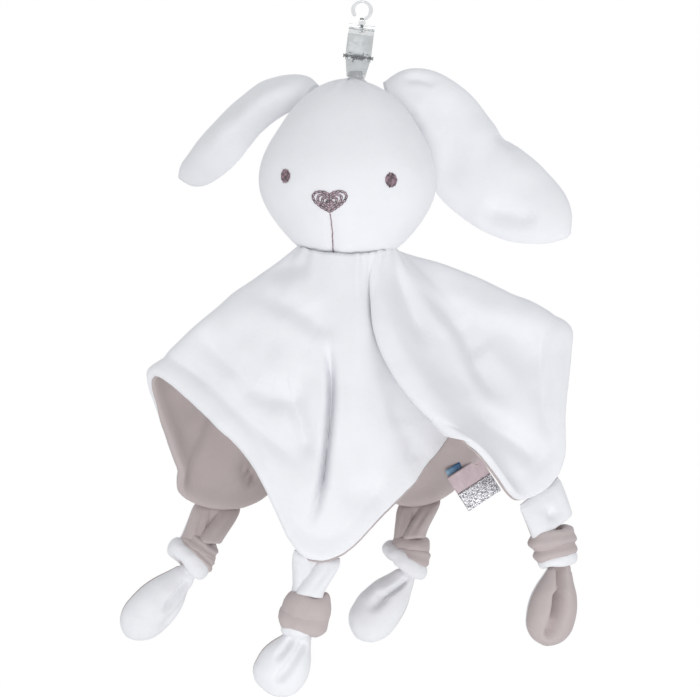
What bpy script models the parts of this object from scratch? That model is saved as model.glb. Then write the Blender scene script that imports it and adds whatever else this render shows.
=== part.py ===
"""Rabbit comfort blanket: a stuffed head with two ears on a square two-layer blanket whose four
corners are knotted legs, hanging by its crown from a small clear clip and hook.

Metres, +Z up. The face looks along -Y. The origin is the inside of the hook's crown, where
whatever holds the toy up carries it.
"""
import math

import bmesh
import bpy
import numpy as np
from mathutils import Matrix, Vector

MM = 0.001
GAP = 0.3 * MM  # left between pieces that touch
WELD = 0.001 * MM  # points closer than this are one
OVERRUN = 2 * MM  # how far a cutter runs past what it cuts
ROD_SIDES = 24
SHARP_DEG = 30  # edges with a sharper turn than this stay crisp

# Hook: a round ring with a mouth, a ball collar and a headed shank that turns in the clip
HOOK_INNER_RADIUS = 3.6 * MM
HOOK_WIRE = 2.1 * MM
HOOK_START_DEG = -90
HOOK_SWEEP_DEG = 300
HOOK_STEPS = 25
COLLAR_RADIUS = 1.9 * MM
COLLAR_DROP = 2.0 * MM
SHANK_RADIUS = 0.9 * MM
BUTTON_RADIUS = 1.9 * MM
BUTTON_THICK = 0.9 * MM
SHANK_CLEAR = 0.35 * MM
SHANK_SIDES = 20
COLLAR_POINTS = 5

# Clip: two levers on a pin, in a frame that hangs from the shank and leans
CLIP_LEAN_DEG = 7
CLIP_WIDTH = 13.4 * MM
JAW_WIDTH = 9.4 * MM
CLIP_DROP = 12.0 * MM
SHELF_THICK = 1.6 * MM
SHELF_FRONT = 4.4 * MM
PIN_DROP = 16.2 * MM
JAW_DROP = 27.0 * MM
JAW_HEIGHT = 2.6 * MM
LEVER_THICK = 1.6 * MM
HANDLE_SPREAD = 4.1 * MM
WAIST_SPREAD = 2.3 * MM
TUFT_THICK = 2.4 * MM
FRONT_HANDLE_DROP = 5.2 * MM
LUG_RADIUS = 1.8 * MM
LUG_THICK = 1.2 * MM
LUG_INSET = 0.5 * MM
WEB_SHARE = 0.9  # of the eye's radius, the web that joins it to its lever
PIN_RADIUS = 0.7 * MM
PIN_HEAD = 0.5 * MM
PIN_CLEAR = 0.3 * MM
PIN_SIDES = 16
SPRING_WIRE = 0.5 * MM
SPRING_RADIUS = 1.35 * MM
SPRING_PITCH = 0.98 * MM
SPRING_TURNS = 5
SPRING_TURN_POINTS = 9
SPRING_LEG = 2.4 * MM

# Head: a shell of cloth round its stuffing, flatter front to back than it is wide
HEAD_WIDTH = 90.4 * MM
HEAD_DEPTH = 78.0 * MM
HEAD_HEIGHT = 92.8 * MM
HEAD_BELOW_JAW = 0.8 * MM
HEAD_LEFT = 3.4 * MM
HEAD_STEPS = 24
HEAD_RING_POWER = 1.5  # draws the rings together near the crown
COVER_THICK = 1.4 * MM
NECK_HOLE_RADIUS = 11.0 * MM
NECK_STUB = 9.0 * MM
# down the outer side: (share of the height from the top, share of the half width)
HEAD_SHARES = (
    (0.0, 0.0), (0.012, 0.14), (0.05, 0.345), (0.105, 0.52), (0.185, 0.675), (0.28, 0.80),
    (0.38, 0.91), (0.49, 0.985), (0.60, 1.0), (0.70, 0.945), (0.79, 0.845), (0.875, 0.71),
    (0.945, 0.55), (0.985, 0.39),
)
TUFT_WIDTH = 8.6 * MM
TUFT_HEIGHT = 4.2 * MM
TUFT_TAPER_SHARE = 0.25
TUFT_SIDES = 14
TUFT_RINGS = 3

# Face: places across the head, and drops from its crown as shares of its height
EYE_HEIGHT = 7.2 * MM
EYE_WIDTHS = (4.6 * MM, 5.8 * MM)
EYE_ACROSS = (-31.4 * MM, 21.2 * MM)
EYE_DROP_SHARES = (0.578, 0.597)
NOSE_WIDTH = 18.2 * MM
NOSE_HEIGHT = 11.8 * MM
NOSE_ACROSS = -9.6 * MM
NOSE_DROP_SHARE = 0.711
HEART_SHARES = (0.81, -0.31, -0.12)  # of the heart's half height, in each wave round it
MOUTH_WIDTH = 1.0 * MM
MOUTH_DROP_SHARES = (0.791, 0.955)
MOUTH_RINGS = 10
STITCH_HEIGHT = 0.7 * MM
PATCH_SIDES = 20
PATCH_RINGS = 3

# Ears: padded, bent across their width
EAR_THICK = 5.0 * MM
EAR_SIDES = 16
EAR_RINGS = 12
EAR_LOOK_SHARE = 0.02  # how far along the ear its direction is read
EAR_FILL_SHARE = 0.25  # of the thickness that is left at the tip
EAR_HEAD_GAP = 0.5 * MM
EAR_LENGTH = 120.0 * MM
EAR_WIDTH = 50.0 * MM
# along the ear: (share of its length, share of its width)
EAR_WIDTH_SHARES = (
    (0.0, 0.36), (0.10, 0.60), (0.20, 0.76), (0.32, 0.86), (0.42, 0.93), (0.51, 0.99),
    (0.65, 1.0), (0.77, 0.90), (0.87, 0.71), (0.95, 0.42), (1.0, 0.06),
)
# the middle line from the crown, as shares of the ear's length: across, back, down
RIGHT_EAR_SHARES = (
    (0.165, 0.060, 0.076), (0.300, 0.090, 0.060), (0.411, 0.110, 0.142), (0.482, 0.115, 0.253),
    (0.548, 0.105, 0.366), (0.648, 0.090, 0.449), (0.754, 0.075, 0.522), (0.859, 0.060, 0.593),
    (0.958, 0.050, 0.676),
)
LEFT_EAR_SHARES = (
    (-0.162, 0.040, 0.057), (-0.247, 0.095, 0.028), (-0.337, 0.170, 0.035), (-0.427, 0.250, 0.074),
    (-0.508, 0.330, 0.133), (-0.581, 0.410, 0.201), (-0.655, 0.485, 0.263), (-0.724, 0.550, 0.322),
    (-0.785, 0.600, 0.374),
)
# where each ear flexes against the head, in the same shares, and the line that it flexes about
RIGHT_EAR_HINGE_SHARES = ((0.239, 0.092, 0.120), (0.63, 0.0, -0.78))
LEFT_EAR_HINGE_SHARES = ((-0.178, 0.067, 0.033), (-0.77, 0.0, -0.64))
EAR_FLOP_DEG = (-12, 0, 12)
RIGHT_EAR_BEND_DEG = 60
LEFT_EAR_BEND_DEG = 150
RIGHT_EAR_FACE = (0.10, -1.0, 0.12)
LEFT_EAR_FACE = (-0.50, -0.70, 0.66)

# Blanket: a square of two layers, sewn on round the neck, with its corners cut for the legs
BLANKET_HALF = 130.0 * MM
CORNER_CUT = 12.0 * MM
CLOTH_THICK = 0.8 * MM
LAYER_GAP = 0.6 * MM
LINING_IN = 3.0 * MM
NECK_RADIUS = 24.5 * MM
NECK_LEFT = 1.6 * MM
NECK_RISE = 1.7 * MM
NECK_FRONT_DROP = 4.6 * MM  # how far the cloth's edge hangs below the chin
TIE_RADIUS = 2.2 * MM
TIE_SIDES = 24
TIE_RINGS = 8
DRAPE_RINGS = 8
# how each fold line hangs: angle on the flat cloth and round the neck in degrees, then where it
# ends and how far its middle bows, both as shares of the blanket's half side
HANG_SHARES = (
    (4.0, -85, (-0.036, -0.143, -1.160), (0.0, -0.035, 0.0)),
    (41.0, -56, (0.350, 0.070, -0.647), (-0.120, -0.062, 0.0)),
    (57.0, -42, (0.240, -0.190, -0.712), (-0.125, -0.054, -0.030)),
    (66.0, -30, (0.312, -0.260, -0.723), (-0.125, -0.054, -0.030)),
    (86.0, -6, (0.514, -0.072, -1.011), (0.02, -0.02, 0.02)),
    (94.0, 4, (0.652, -0.059, -0.908), (0.03, -0.01, 0.03)),
    (115.0, 17, (0.695, 0.006, -0.643), (0.02, 0.0, 0.04)),
    (135.0, 30, (0.755, 0.121, -0.302), (0.02, 0.01, 0.05)),
    (176.0, 62, (0.314, 0.395, -1.046), (0.0, 0.03, 0.02)),
    (184.0, 76, (0.172, 0.409, -1.068), (0.0, 0.03, 0.02)),
    (225.0, 100, (-0.030, 0.615, -0.536), (0.0, 0.03, 0.04)),
    (266.0, 138, (-0.296, 0.351, -1.073), (-0.01, 0.03, 0.02)),
    (274.0, 150, (-0.476, 0.306, -1.044), (-0.02, 0.02, 0.02)),
    (294.0, 170, (-0.515, 0.105, -0.812), (-0.01, 0.02, 0.03)),
    (315.0, 190, (-0.595, -0.121, -0.458), (-0.01, -0.02, 0.03)),
    (326.0, 203, (-0.441, -0.142, -0.556), (-0.01, -0.03, 0.02)),
    (336.0, 217, (-0.308, -0.156, -0.691), (-0.005, -0.035, 0.01)),
    (346.0, 230, (-0.193, -0.171, -0.846), (0.0, -0.035, 0.005)),
    (356.0, 242, (-0.112, -0.188, -1.172), (0.0, -0.035, 0.0)),
)
# soft ripples: flat angle and width in degrees, height as a share of the half side
RIPPLE_SHARES = (
    (20, 9, 0.030), (76, 7, 0.030), (162, 8, -0.030), (205, 10, -0.04), (248, 10, 0.030),
    (331, 7, 0.020),
)
# flat angles of the cloth's lengthwise edges between two corners, in degrees from a corner;
# the fold beside the front panel needs more of them
PLAIN_EDGE_DEG = (4, 13, 22, 30, 38, 45, 52, 60, 69, 78, 86)
FOLD_EDGE_DEG = (4, 12, 20, 27, 32, 36, 39, 42, 46, 50.5, 54.5, 58, 61, 64, 67.5, 72, 78, 86)
# folds are rounded by averaging the cloth over a few flat angles either side
ROUND_STEP_DEG = 3.6
ROUND_SHARES = (1 / 9, 2 / 9, 3 / 9, 2 / 9, 1 / 9)

# Legs: each a stuffed strip from a cut corner, tied in a knot above its foot
STRAP_LENGTH = 17.0 * MM
STRAP_TOP_WIDTH = 23.0 * MM
STRAP_TOP_DEPTH = 5.2 * MM
STRAP_END_WIDTH = 17.0 * MM
STRAP_END_DEPTH = 11.5 * MM
KNOT_WIDTH = 26.0 * MM
KNOT_DEPTH = 21.0 * MM
KNOT_HEIGHT = 19.0 * MM
FOOT_LENGTH = 40.0 * MM
FOOT_WIDTH = 27.0 * MM
FOOT_DEPTH = 20.0 * MM
ANKLE_RADIUS = 5.6 * MM
HEM_DROP = 0.4 * MM  # from the hem to the strap's round top
KNOT_DROP = 0.4 * MM
LEG_SIDES = 14
STRAP_RINGS = 6
BAR_SHARE = 2 / 6  # of the strap's rings that round its top
KNOT_RINGS = 8
SOCKET_RINGS = 4
FOOT_RINGS = 10
BALL_SHARE = 3 / 10  # of the foot's rings that round its ball
CREASE_SHARE = 1 / 6
STRAP_DENT = 0.33
FOOT_DENT = 0.33
# down the foot from the ankle's centre: (share of the length, share of the width)
FOOT_SHARES = (
    (0.0, 0.42), (0.12, 0.52), (0.28, 0.74), (0.45, 0.93), (0.62, 1.0), (0.78, 0.93),
    (0.90, 0.70), (0.97, 0.40), (1.0, 0.10),
)
# down the knot: (share of the height, share of the width), two wraps with a groove between
KNOT_SHARES = (
    (0.0, 0.60), (0.06, 0.80), (0.22, 1.0), (0.40, 0.98), (0.50, 0.88), (0.60, 0.98),
    (0.78, 1.0), (0.94, 0.86), (1.0, 0.70),
)
KNOT_SLANT_SHARE = 0.16
# each leg: name, colours of strap, knot and foot, flat angle of its corner, the ways its strap
# and its foot hang, and its foot's length as a share of the usual one
LEGS = (
    ("leg_1", ("taupe", "taupe", "white"), 270, (-0.446, 0.0, -0.895), (-0.69, 0.0, -0.724),
     1.18),
    ("leg_2", ("white", "taupe", "white"), 0, (-0.208, 0.0, -0.978), (-0.50, 0.0, -0.866),
     0.86),
    ("leg_3", ("taupe", "taupe", "white"), 180, (-0.178, 0.0, -0.984), (-0.62, 0.0, -0.785),
     1.1),
    ("leg_4", ("white", "taupe", "taupe"), 90, (0.238, 0.0, -0.971), (-0.193, 0.0, -0.981),
     1.0),
)

# Tags: a satin ribbon loop with a woven lower half, and a narrow label behind it
TAG_FLAT_DEG = 168
TAG_WIDTH = 21.0 * MM
TAG_LENGTH = 19.0 * MM
TAG_THICK = 0.5 * MM
TAG_LOOP = 0.9 * MM
TAG_TILT_DEG = 28
TAG_FORWARD = 1.8 * MM
TAG_DROP = 0.25 * MM
RIBBON_DROP = 3.0 * MM  # from the label's top to the ribbon's
BAND_SHARE = 0.5
BAND_THICK = 0.4 * MM
LABEL_WIDTH = 13.0 * MM
LABEL_LENGTH = 15.0 * MM
LABEL_THICK = 0.4 * MM
LABEL_SIDE = 3.0 * MM

COLOURS = {
    "white": ((0.86, 0.86, 0.88), 0.9),
    "taupe": ((0.50, 0.44, 0.42), 0.9),
    "stuffing": ((0.80, 0.80, 0.78), 0.95),
    "clear": ((0.80, 0.84, 0.87), 0.1),
    "steel": ((0.35, 0.35, 0.36), 0.3),
    "thread": ((0.36, 0.27, 0.28), 0.6),
    "satin": ((0.62, 0.52, 0.53), 0.35),
    "silver": ((0.55, 0.54, 0.56), 0.3),
    "blue": ((0.05, 0.15, 0.32), 0.3),
}
METALS = ("steel", "silver")


def start_scene():
    for thing in list(bpy.data.objects):
        bpy.data.objects.remove(thing, do_unlink=True)
    parts = bpy.data.collections.new("rabbit_comfort_blanket")
    cutters = bpy.data.collections.new("cutters")
    bpy.context.scene.collection.children.link(parts)
    bpy.context.scene.collection.children.link(cutters)
    return parts, cutters


PARTS, CUTTERS = start_scene()


def material(colour):
    made = bpy.data.materials.get(colour)
    if made is None:
        made = bpy.data.materials.new(colour)
        made.use_nodes = True
        shader = made.node_tree.nodes["Principled BSDF"]
        rgb, roughness = COLOURS[colour]
        shader.inputs["Base Color"].default_value = (*rgb, 1.0)
        shader.inputs["Roughness"].default_value = roughness
        shader.inputs["Metallic"].default_value = 1.0 if colour in METALS else 0.0
    return made


def add_part(name, mesh, colour, parent=None):
    """A named sub-part from a mesh in its parent's frame."""
    part = bpy.data.objects.new(name, mesh)
    mesh.materials.clear()
    mesh.materials.append(material(colour))
    PARTS.objects.link(part)
    part.parent = parent
    return part


def add_frame(name, place, parent=None):
    """An empty that carries the pieces of one moving body."""
    frame = bpy.data.objects.new(name, None)
    CUTTERS.objects.link(frame)
    frame.parent = parent
    frame.matrix_local = place
    return frame


def add_cutter(name, mesh, parent=None):
    cutter = bpy.data.objects.new(name, mesh)
    CUTTERS.objects.link(cutter)
    cutter.parent = parent
    cutter.hide_render = True
    cutter.display_type = "WIRE"
    return cutter


def boolean(part, operation, other):
    cut = part.modifiers.new(other.name, "BOOLEAN")
    cut.operation = operation
    cut.solver = "EXACT"
    cut.object = other


def new_mesh(name, work):
    mesh = bpy.data.meshes.new(name)
    work.to_mesh(mesh)
    work.free()
    mesh.shade_smooth()
    return mesh


def baked(part):
    """The mesh that an object's modifiers make, in the object's own frame."""
    bpy.context.view_layer.update()
    evaluated = part.evaluated_get(bpy.context.evaluated_depsgraph_get())
    return bpy.data.meshes.new_from_object(evaluated)


def box_mesh(name, low, high):
    work = bmesh.new()
    bmesh.ops.create_cube(work, size=1)
    low, high = Vector(low), Vector(high)
    size = high - low
    middle = (low + high) / 2
    bmesh.ops.transform(work, verts=work.verts, matrix=Matrix.Diagonal(size.to_4d()))
    bmesh.ops.translate(work, verts=work.verts, vec=middle)
    return new_mesh(name, work)


def rod_mesh(name, radius, length, turn=Matrix(), sides=ROD_SIDES):
    work = bmesh.new()
    bmesh.ops.create_cone(
        work, cap_ends=True, segments=sides, radius1=radius, radius2=radius, depth=length
    )
    bmesh.ops.transform(work, verts=work.verts, matrix=turn)
    return new_mesh(name, work)


ALONG_X = Matrix.Rotation(math.pi / 2, 4, "Y")


def turned_mesh(name, profile, steps):
    """A Screw round Z of a profile of (radius, height) that runs down its outer side."""
    work = bmesh.new()
    points = [work.verts.new((radius, 0, height)) for radius, height in profile]
    for upper, lower in zip(points, points[1:]):
        work.edges.new((upper, lower))
    holder = bpy.data.objects.new(name, new_mesh(name, work))
    CUTTERS.objects.link(holder)
    screw = holder.modifiers.new("turn", "SCREW")
    screw.steps = steps
    screw.render_steps = steps
    screw.use_merge_vertices = True
    screw.merge_threshold = WELD
    mesh = baked(holder)
    bpy.data.objects.remove(holder, do_unlink=True)
    mesh.shade_smooth()
    return mesh


def grid(columns, rows, place):
    """A bmesh grid whose points place() moves, from a share across and a share along."""
    work = bmesh.new()
    bmesh.ops.create_grid(work, x_segments=columns, y_segments=rows, size=1)
    for point in work.verts:
        point.co = place((point.co.x + 1) / 2, (point.co.y + 1) / 2)
    return work


def loft_mesh(name, sides, rings, place):
    """A closed form of rings; place() takes the angle round it and the share along it."""
    work = grid(sides, rings, lambda across, along: place(across * math.tau, along))
    bmesh.ops.remove_doubles(work, verts=work.verts, dist=WELD)
    bmesh.ops.holes_fill(work, edges=work.edges, sides=0)
    bmesh.ops.recalc_face_normals(work, faces=work.faces)
    return new_mesh(name, work)


def read_shares(shares, share):
    """A smooth reading of a table of (share, value)."""
    xs = [row[0] for row in shares]
    ys = [row[1] for row in shares]
    index = min(max(int(np.searchsorted(xs, share)) - 1, 0), len(xs) - 2)
    width = xs[index + 1] - xs[index]
    blend = min(max((share - xs[index]) / width, 0), 1)
    slopes = []
    for at in (index, index + 1):
        before, after = max(at - 1, 0), min(at + 1, len(xs) - 1)
        slopes.append((ys[after] - ys[before]) / (xs[after] - xs[before]))
    return hermite(blend, ys[index], ys[index + 1], slopes[0] * width, slopes[1] * width)


def hermite(blend, start, end, start_slope, end_slope):
    square, cube = blend**2, blend**3
    return (
        (2 * cube - 3 * square + 1) * start + (cube - 2 * square + blend) * start_slope
        + (3 * square - 2 * cube) * end + (cube - square) * end_slope
    )


def frame_from(origin, across, up):
    """A frame with Z along up and X as near across as that lets it be."""
    z_axis = Vector(up).normalized()
    y_axis = z_axis.cross(Vector(across)).normalized()
    x_axis = y_axis.cross(z_axis)
    turn = Matrix((x_axis, y_axis, z_axis)).transposed().to_4x4()
    return Matrix.Translation(origin) @ turn


def frame_on(origin, across, up):
    """A frame with X along across and Z as near up as that lets it be."""
    x_axis = Vector(across).normalized()
    y_axis = Vector(up).cross(x_axis).normalized()
    turn = Matrix((x_axis, y_axis, x_axis.cross(y_axis))).transposed().to_4x4()
    return Matrix.Translation(origin) @ turn


# The hook and the clip

HOOK_CENTRE = Vector((0, 0, -HOOK_INNER_RADIUS))
HOOK_MEAN_RADIUS = HOOK_INNER_RADIUS + HOOK_WIRE / 2
HOOK_FOOT_Z = HOOK_CENTRE.z - HOOK_MEAN_RADIUS


def make_hook():
    curve = bpy.data.curves.new("hook_wire", "CURVE")
    curve.dimensions = "3D"
    curve.bevel_depth = HOOK_WIRE / 2
    curve.bevel_resolution = 2
    curve.use_fill_caps = True
    spline = curve.splines.new("POLY")
    spline.points.add(HOOK_STEPS)
    for count, point in enumerate(spline.points):
        turn = math.radians(HOOK_START_DEG + HOOK_SWEEP_DEG * count / HOOK_STEPS)
        across = HOOK_MEAN_RADIUS * math.cos(turn)
        up = HOOK_MEAN_RADIUS * math.sin(turn)
        point.co = (across, 0, HOOK_CENTRE.z + up, 1)
    wire = bpy.data.objects.new("hook_wire", curve)
    CUTTERS.objects.link(wire)
    mesh = baked(wire)
    bpy.data.objects.remove(wire, do_unlink=True)
    work = bmesh.new()
    work.from_mesh(mesh)
    bmesh.ops.remove_doubles(work, verts=work.verts, dist=WELD)
    hook = add_part("hanging_hook", new_mesh("hanging_hook", work), "clear")
    top = HOOK_FOOT_Z + HOOK_WIRE / 4
    collar = HOOK_FOOT_Z - COLLAR_DROP
    shelf_under = -CLIP_DROP - SHELF_THICK - 2 * SHANK_CLEAR
    profile = [(0, top), (SHANK_RADIUS, top)]
    for count in range(COLLAR_POINTS):
        turn = math.pi / 4 * (1 - 2 * count / (COLLAR_POINTS - 1))
        profile.append((COLLAR_RADIUS * math.cos(turn), collar + COLLAR_RADIUS * math.sin(turn)))
    profile += [
        (SHANK_RADIUS, -CLIP_DROP + SHANK_CLEAR),
        (SHANK_RADIUS, shelf_under),
        (BUTTON_RADIUS, shelf_under),
        (BUTTON_RADIUS, shelf_under - BUTTON_THICK),
        (0, shelf_under - BUTTON_THICK),
    ]
    shank = add_cutter("hook_shank", turned_mesh("hook_shank", profile, SHANK_SIDES))
    boolean(hook, "UNION", shank)


def lever_mesh(name, outline, width):
    """A plate with a side outline of (back, up) places, as wide as the clip."""
    work = bmesh.new()
    points = [work.verts.new((-width / 2, back, up)) for back, up in outline]
    face = work.faces.new(points)
    made = bmesh.ops.extrude_face_region(work, geom=[face])
    moved = [item for item in made["geom"] if isinstance(item, bmesh.types.BMVert)]
    bmesh.ops.translate(work, verts=moved, vec=(width, 0, 0))
    whole = list(work.verts) + list(work.edges) + list(work.faces)
    pin_height = (0, 0, -PIN_DROP)
    bmesh.ops.bisect_plane(work, geom=whole, plane_co=pin_height, plane_no=(0, 0, 1), dist=WELD)
    bmesh.ops.recalc_face_normals(work, faces=work.faces)
    for point in work.verts:
        below = max(0, -PIN_DROP - point.co.z) / (JAW_DROP - PIN_DROP)
        point.co.x *= 1 + below * (JAW_WIDTH / CLIP_WIDTH - 1)
    mesh = new_mesh(name, work)
    mesh.set_sharp_from_angle(angle=math.radians(SHARP_DEG))
    return mesh


def add_lugs(lever, inset, side, frame):
    """Two eyes on the pin that stand on one lever, with the pin's hole through both."""
    middle = Vector((0, 0, -PIN_DROP))
    for number, way in enumerate((-1, 1)):
        outer = CLIP_WIDTH / 2 - inset
        place = Vector((way * (outer - LUG_THICK / 2), 0, 0)) + middle
        eye = rod_mesh(f"{lever.name}_eye_{number}", LUG_RADIUS, LUG_THICK, ALONG_X)
        eye.transform(Matrix.Translation(place))
        boolean(lever, "UNION", add_cutter(eye.name, eye, frame))
        reach = side * (WAIST_SPREAD + LEVER_THICK / 2)
        low = (place.x - LUG_THICK / 2, min(0, reach), middle.z - LUG_RADIUS * WEB_SHARE)
        high = (place.x + LUG_THICK / 2, max(0, reach), middle.z + LUG_RADIUS * WEB_SHARE)
        web = box_mesh(f"{lever.name}_web_{number}", low, high)
        boolean(lever, "UNION", add_cutter(web.name, web, frame))
    bore = rod_mesh(
        f"{lever.name}_bore", PIN_RADIUS + PIN_CLEAR, CLIP_WIDTH + OVERRUN, ALONG_X
    )
    bore.transform(Matrix.Translation(middle))
    boolean(lever, "DIFFERENCE", add_cutter(bore.name, bore, frame))


def lever_sides(top):
    """The inner and outer side of a lever, as (spread, height) from the top down."""
    slope = (HANDLE_SPREAD - WAIST_SPREAD) / PIN_DROP
    inner_top = WAIST_SPREAD + slope * (PIN_DROP - top)
    jaw = TUFT_THICK / 2 + GAP
    inner = [
        (inner_top, -top), (WAIST_SPREAD, -PIN_DROP), (jaw, -JAW_DROP + JAW_HEIGHT),
        (jaw, -JAW_DROP),
    ]
    outer = [
        (inner_top + LEVER_THICK, -top), (WAIST_SPREAD + LEVER_THICK, -PIN_DROP),
        (jaw + LEVER_THICK, -JAW_DROP),
    ]
    return inner, outer


def make_clip(frame):
    inner, outer = lever_sides(SHELF_THICK)
    shelf_back = outer[0][0]
    outline = [(-SHELF_FRONT, 0), (shelf_back, 0)] + outer + inner[::-1]
    outline.append((-SHELF_FRONT, -SHELF_THICK))
    back = add_part(
        "clip_back_lever", lever_mesh("clip_back_lever", outline, CLIP_WIDTH), "clear", frame
    )
    add_lugs(back, 0, 1, frame)
    hole = rod_mesh("shank_hole", SHANK_RADIUS + SHANK_CLEAR, CLIP_DROP)
    hole.transform(Matrix.Translation((0, 0, -CLIP_DROP)))
    boolean(back, "DIFFERENCE", add_cutter("shank_hole", hole))
    inner, outer = lever_sides(FRONT_HANDLE_DROP)
    outline = [(-spread, height) for spread, height in outer + inner[::-1]]
    front = add_part(
        "clip_front_lever", lever_mesh("clip_front_lever", outline, CLIP_WIDTH), "clear", frame
    )
    add_lugs(front, LUG_THICK + LUG_INSET, -1, frame)
    length = CLIP_WIDTH + 2 * (GAP + PIN_HEAD)
    pin = rod_mesh("clip_pin", PIN_RADIUS, length, ALONG_X, PIN_SIDES)
    pin.transform(Matrix.Translation((0, 0, -PIN_DROP)))
    pin_part = add_part("clip_pin", pin, "steel", frame)
    for number, way in enumerate((-1, 1)):
        wide = PIN_RADIUS + PIN_CLEAR
        head = rod_mesh(f"pin_head_{number}", wide, PIN_HEAD, ALONG_X, PIN_SIDES)
        place = way * (length / 2 + PIN_HEAD / 4)
        head.transform(Matrix.Translation((place, 0, -PIN_DROP)))
        boolean(pin_part, "UNION", add_cutter(head.name, head, frame))
    make_spring(frame)


def make_spring(frame):
    """One wire wound round the pin, with a short leg up at each end."""
    points = []
    steps = SPRING_TURNS * SPRING_TURN_POINTS
    for count in range(steps + 1):
        turn = math.tau * count / SPRING_TURN_POINTS
        along = SPRING_PITCH * (count / SPRING_TURN_POINTS - SPRING_TURNS / 2)
        back, up = SPRING_RADIUS * math.cos(turn), SPRING_RADIUS * math.sin(turn)
        points.append(Vector((along, back, up - PIN_DROP)))
    points.insert(0, points[0] - Vector((0, 0, SPRING_LEG)))
    points.append(points[-1] + Vector((0, 0, SPRING_LEG)))
    loops = np.array([tuple(point) for point in points[1:-1]])
    apart = np.linalg.norm(loops[SPRING_TURN_POINTS:] - loops[:-SPRING_TURN_POINTS], axis=1)
    print("least gap between the spring's turns, mm", (apart.min() - SPRING_WIRE) / MM)
    curve = bpy.data.curves.new("clip_spring", "CURVE")
    curve.dimensions = "3D"
    curve.bevel_depth = SPRING_WIRE / 2
    curve.bevel_resolution = 1
    curve.use_fill_caps = True
    spline = curve.splines.new("POLY")
    spline.points.add(len(points) - 1)
    for target, point in zip(spline.points, points):
        target.co = (*point, 1)
    curve.materials.append(material("steel"))
    spring = bpy.data.objects.new("clip_spring", curve)
    PARTS.objects.link(spring)
    spring.parent = frame


# The head

LEAN = math.radians(CLIP_LEAN_DEG)
JAW_TIP = Vector((-JAW_DROP * math.sin(LEAN), 0, -CLIP_DROP - JAW_DROP * math.cos(LEAN)))
CROWN = Vector((JAW_TIP.x - HEAD_LEFT, 0, JAW_TIP.z - HEAD_BELOW_JAW))
FLAT_SHARE = HEAD_DEPTH / HEAD_WIDTH


def head_profile(inset):
    """The head's outer side, moved inwards by the given distance."""
    points = []
    steps = len(HEAD_SHARES)
    for count in range(steps + 1):
        share = HEAD_SHARES[-1][0] * (count / steps) ** HEAD_RING_POWER
        radius = read_shares(HEAD_SHARES, share) * HEAD_WIDTH / 2
        points.append(Vector((radius, -share * HEAD_HEIGHT)))
    points[0].x = 0
    moved = []
    for index, point in enumerate(points):
        before = points[max(index - 1, 0)]
        after = points[min(index + 1, len(points) - 1)]
        along = (after - before).normalized()
        inwards = Vector((along.y, -along.x)) if index else Vector((0, -1))
        moved.append(point + inwards * inset)
    moved[0].x = 0
    return moved


def flattened(mesh):
    mesh.transform(Matrix.Diagonal((1, FLAT_SHARE, 1, 1)))
    mesh.transform(Matrix.Translation(CROWN))
    return mesh


def make_head():
    outer = [(point.x, point.y) for point in head_profile(0)]
    outer.append((NECK_HOLE_RADIUS, outer[-1][1] - GAP))
    cover_mesh = flattened(turned_mesh("head_cover", outer, HEAD_STEPS))
    cover = add_part("head_cover", cover_mesh, "white")
    wall = cover.modifiers.new("cloth", "SOLIDIFY")
    wall.thickness = COVER_THICK
    wall.offset = -1
    core = [(max(point.x, 0), point.y) for point in head_profile(COVER_THICK + 2 * GAP)]
    core = [place for place in core if place[1] > outer[-1][1] + 2 * COVER_THICK]
    stub = NECK_HOLE_RADIUS - 2 * GAP
    stub_top = outer[-1][1] + COVER_THICK + 2 * GAP
    stub_end = outer[-1][1] - NECK_STUB
    core += [(stub, stub_top), (stub, stub_end), (0, stub_end)]
    core_mesh = flattened(turned_mesh("head_stuffing", core, HEAD_STEPS))
    add_part("head_stuffing", core_mesh, "stuffing")


def head_front(across, drop):
    """The point of the face this far across and below the crown, and its outward normal."""
    share = drop / HEAD_HEIGHT
    step = WELD / HEAD_HEIGHT
    radius = read_shares(HEAD_SHARES, share) * HEAD_WIDTH / 2
    wider = read_shares(HEAD_SHARES, share + step) * HEAD_WIDTH / 2
    back = math.sqrt(max(radius**2 - across**2, 0))
    slope = (wider - radius) / (step * HEAD_HEIGHT)
    normal = Vector((across, -back / FLAT_SHARE, radius * slope)).normalized()
    return CROWN + Vector((across, -back * FLAT_SHARE, -drop)), normal


def add_patch(name, across, drop, outline):
    """A stitched patch on the face: outline() gives its edge for an angle."""
    work = bmesh.new()
    bmesh.ops.create_circle(work, segments=PATCH_SIDES, radius=1, cap_ends=True)
    made = bmesh.ops.poke(work, faces=work.faces)
    spokes = [edge for edge in work.edges if made["verts"][0] in edge.verts]
    bmesh.ops.subdivide_edges(work, edges=spokes, cuts=PATCH_RINGS - 1)
    for point in work.verts:
        angle, share = math.atan2(point.co.y, point.co.x), point.co.to_2d().length
        wide, high = outline(angle)
        place, normal = head_front(across + wide * share, drop - high * share)
        point.co = place + normal * 2 * GAP
    bmesh.ops.recalc_face_normals(work, faces=work.faces)
    if sum((face.normal.y for face in work.faces)) > 0:
        bmesh.ops.reverse_faces(work, faces=work.faces)
    patch = add_part(name, new_mesh(name, work), "thread")
    raised = patch.modifiers.new("stitches", "SOLIDIFY")
    raised.thickness = STITCH_HEIGHT
    raised.offset = 1


def heart(angle):
    """A soft heart with its point down."""
    turn = angle - math.pi / 2
    high = sum(share * math.cos((index + 1) * turn) for index, share in enumerate(HEART_SHARES))
    wide = -math.sin(turn) ** 3
    return wide * NOSE_WIDTH / 2, high * NOSE_HEIGHT / 2


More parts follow.
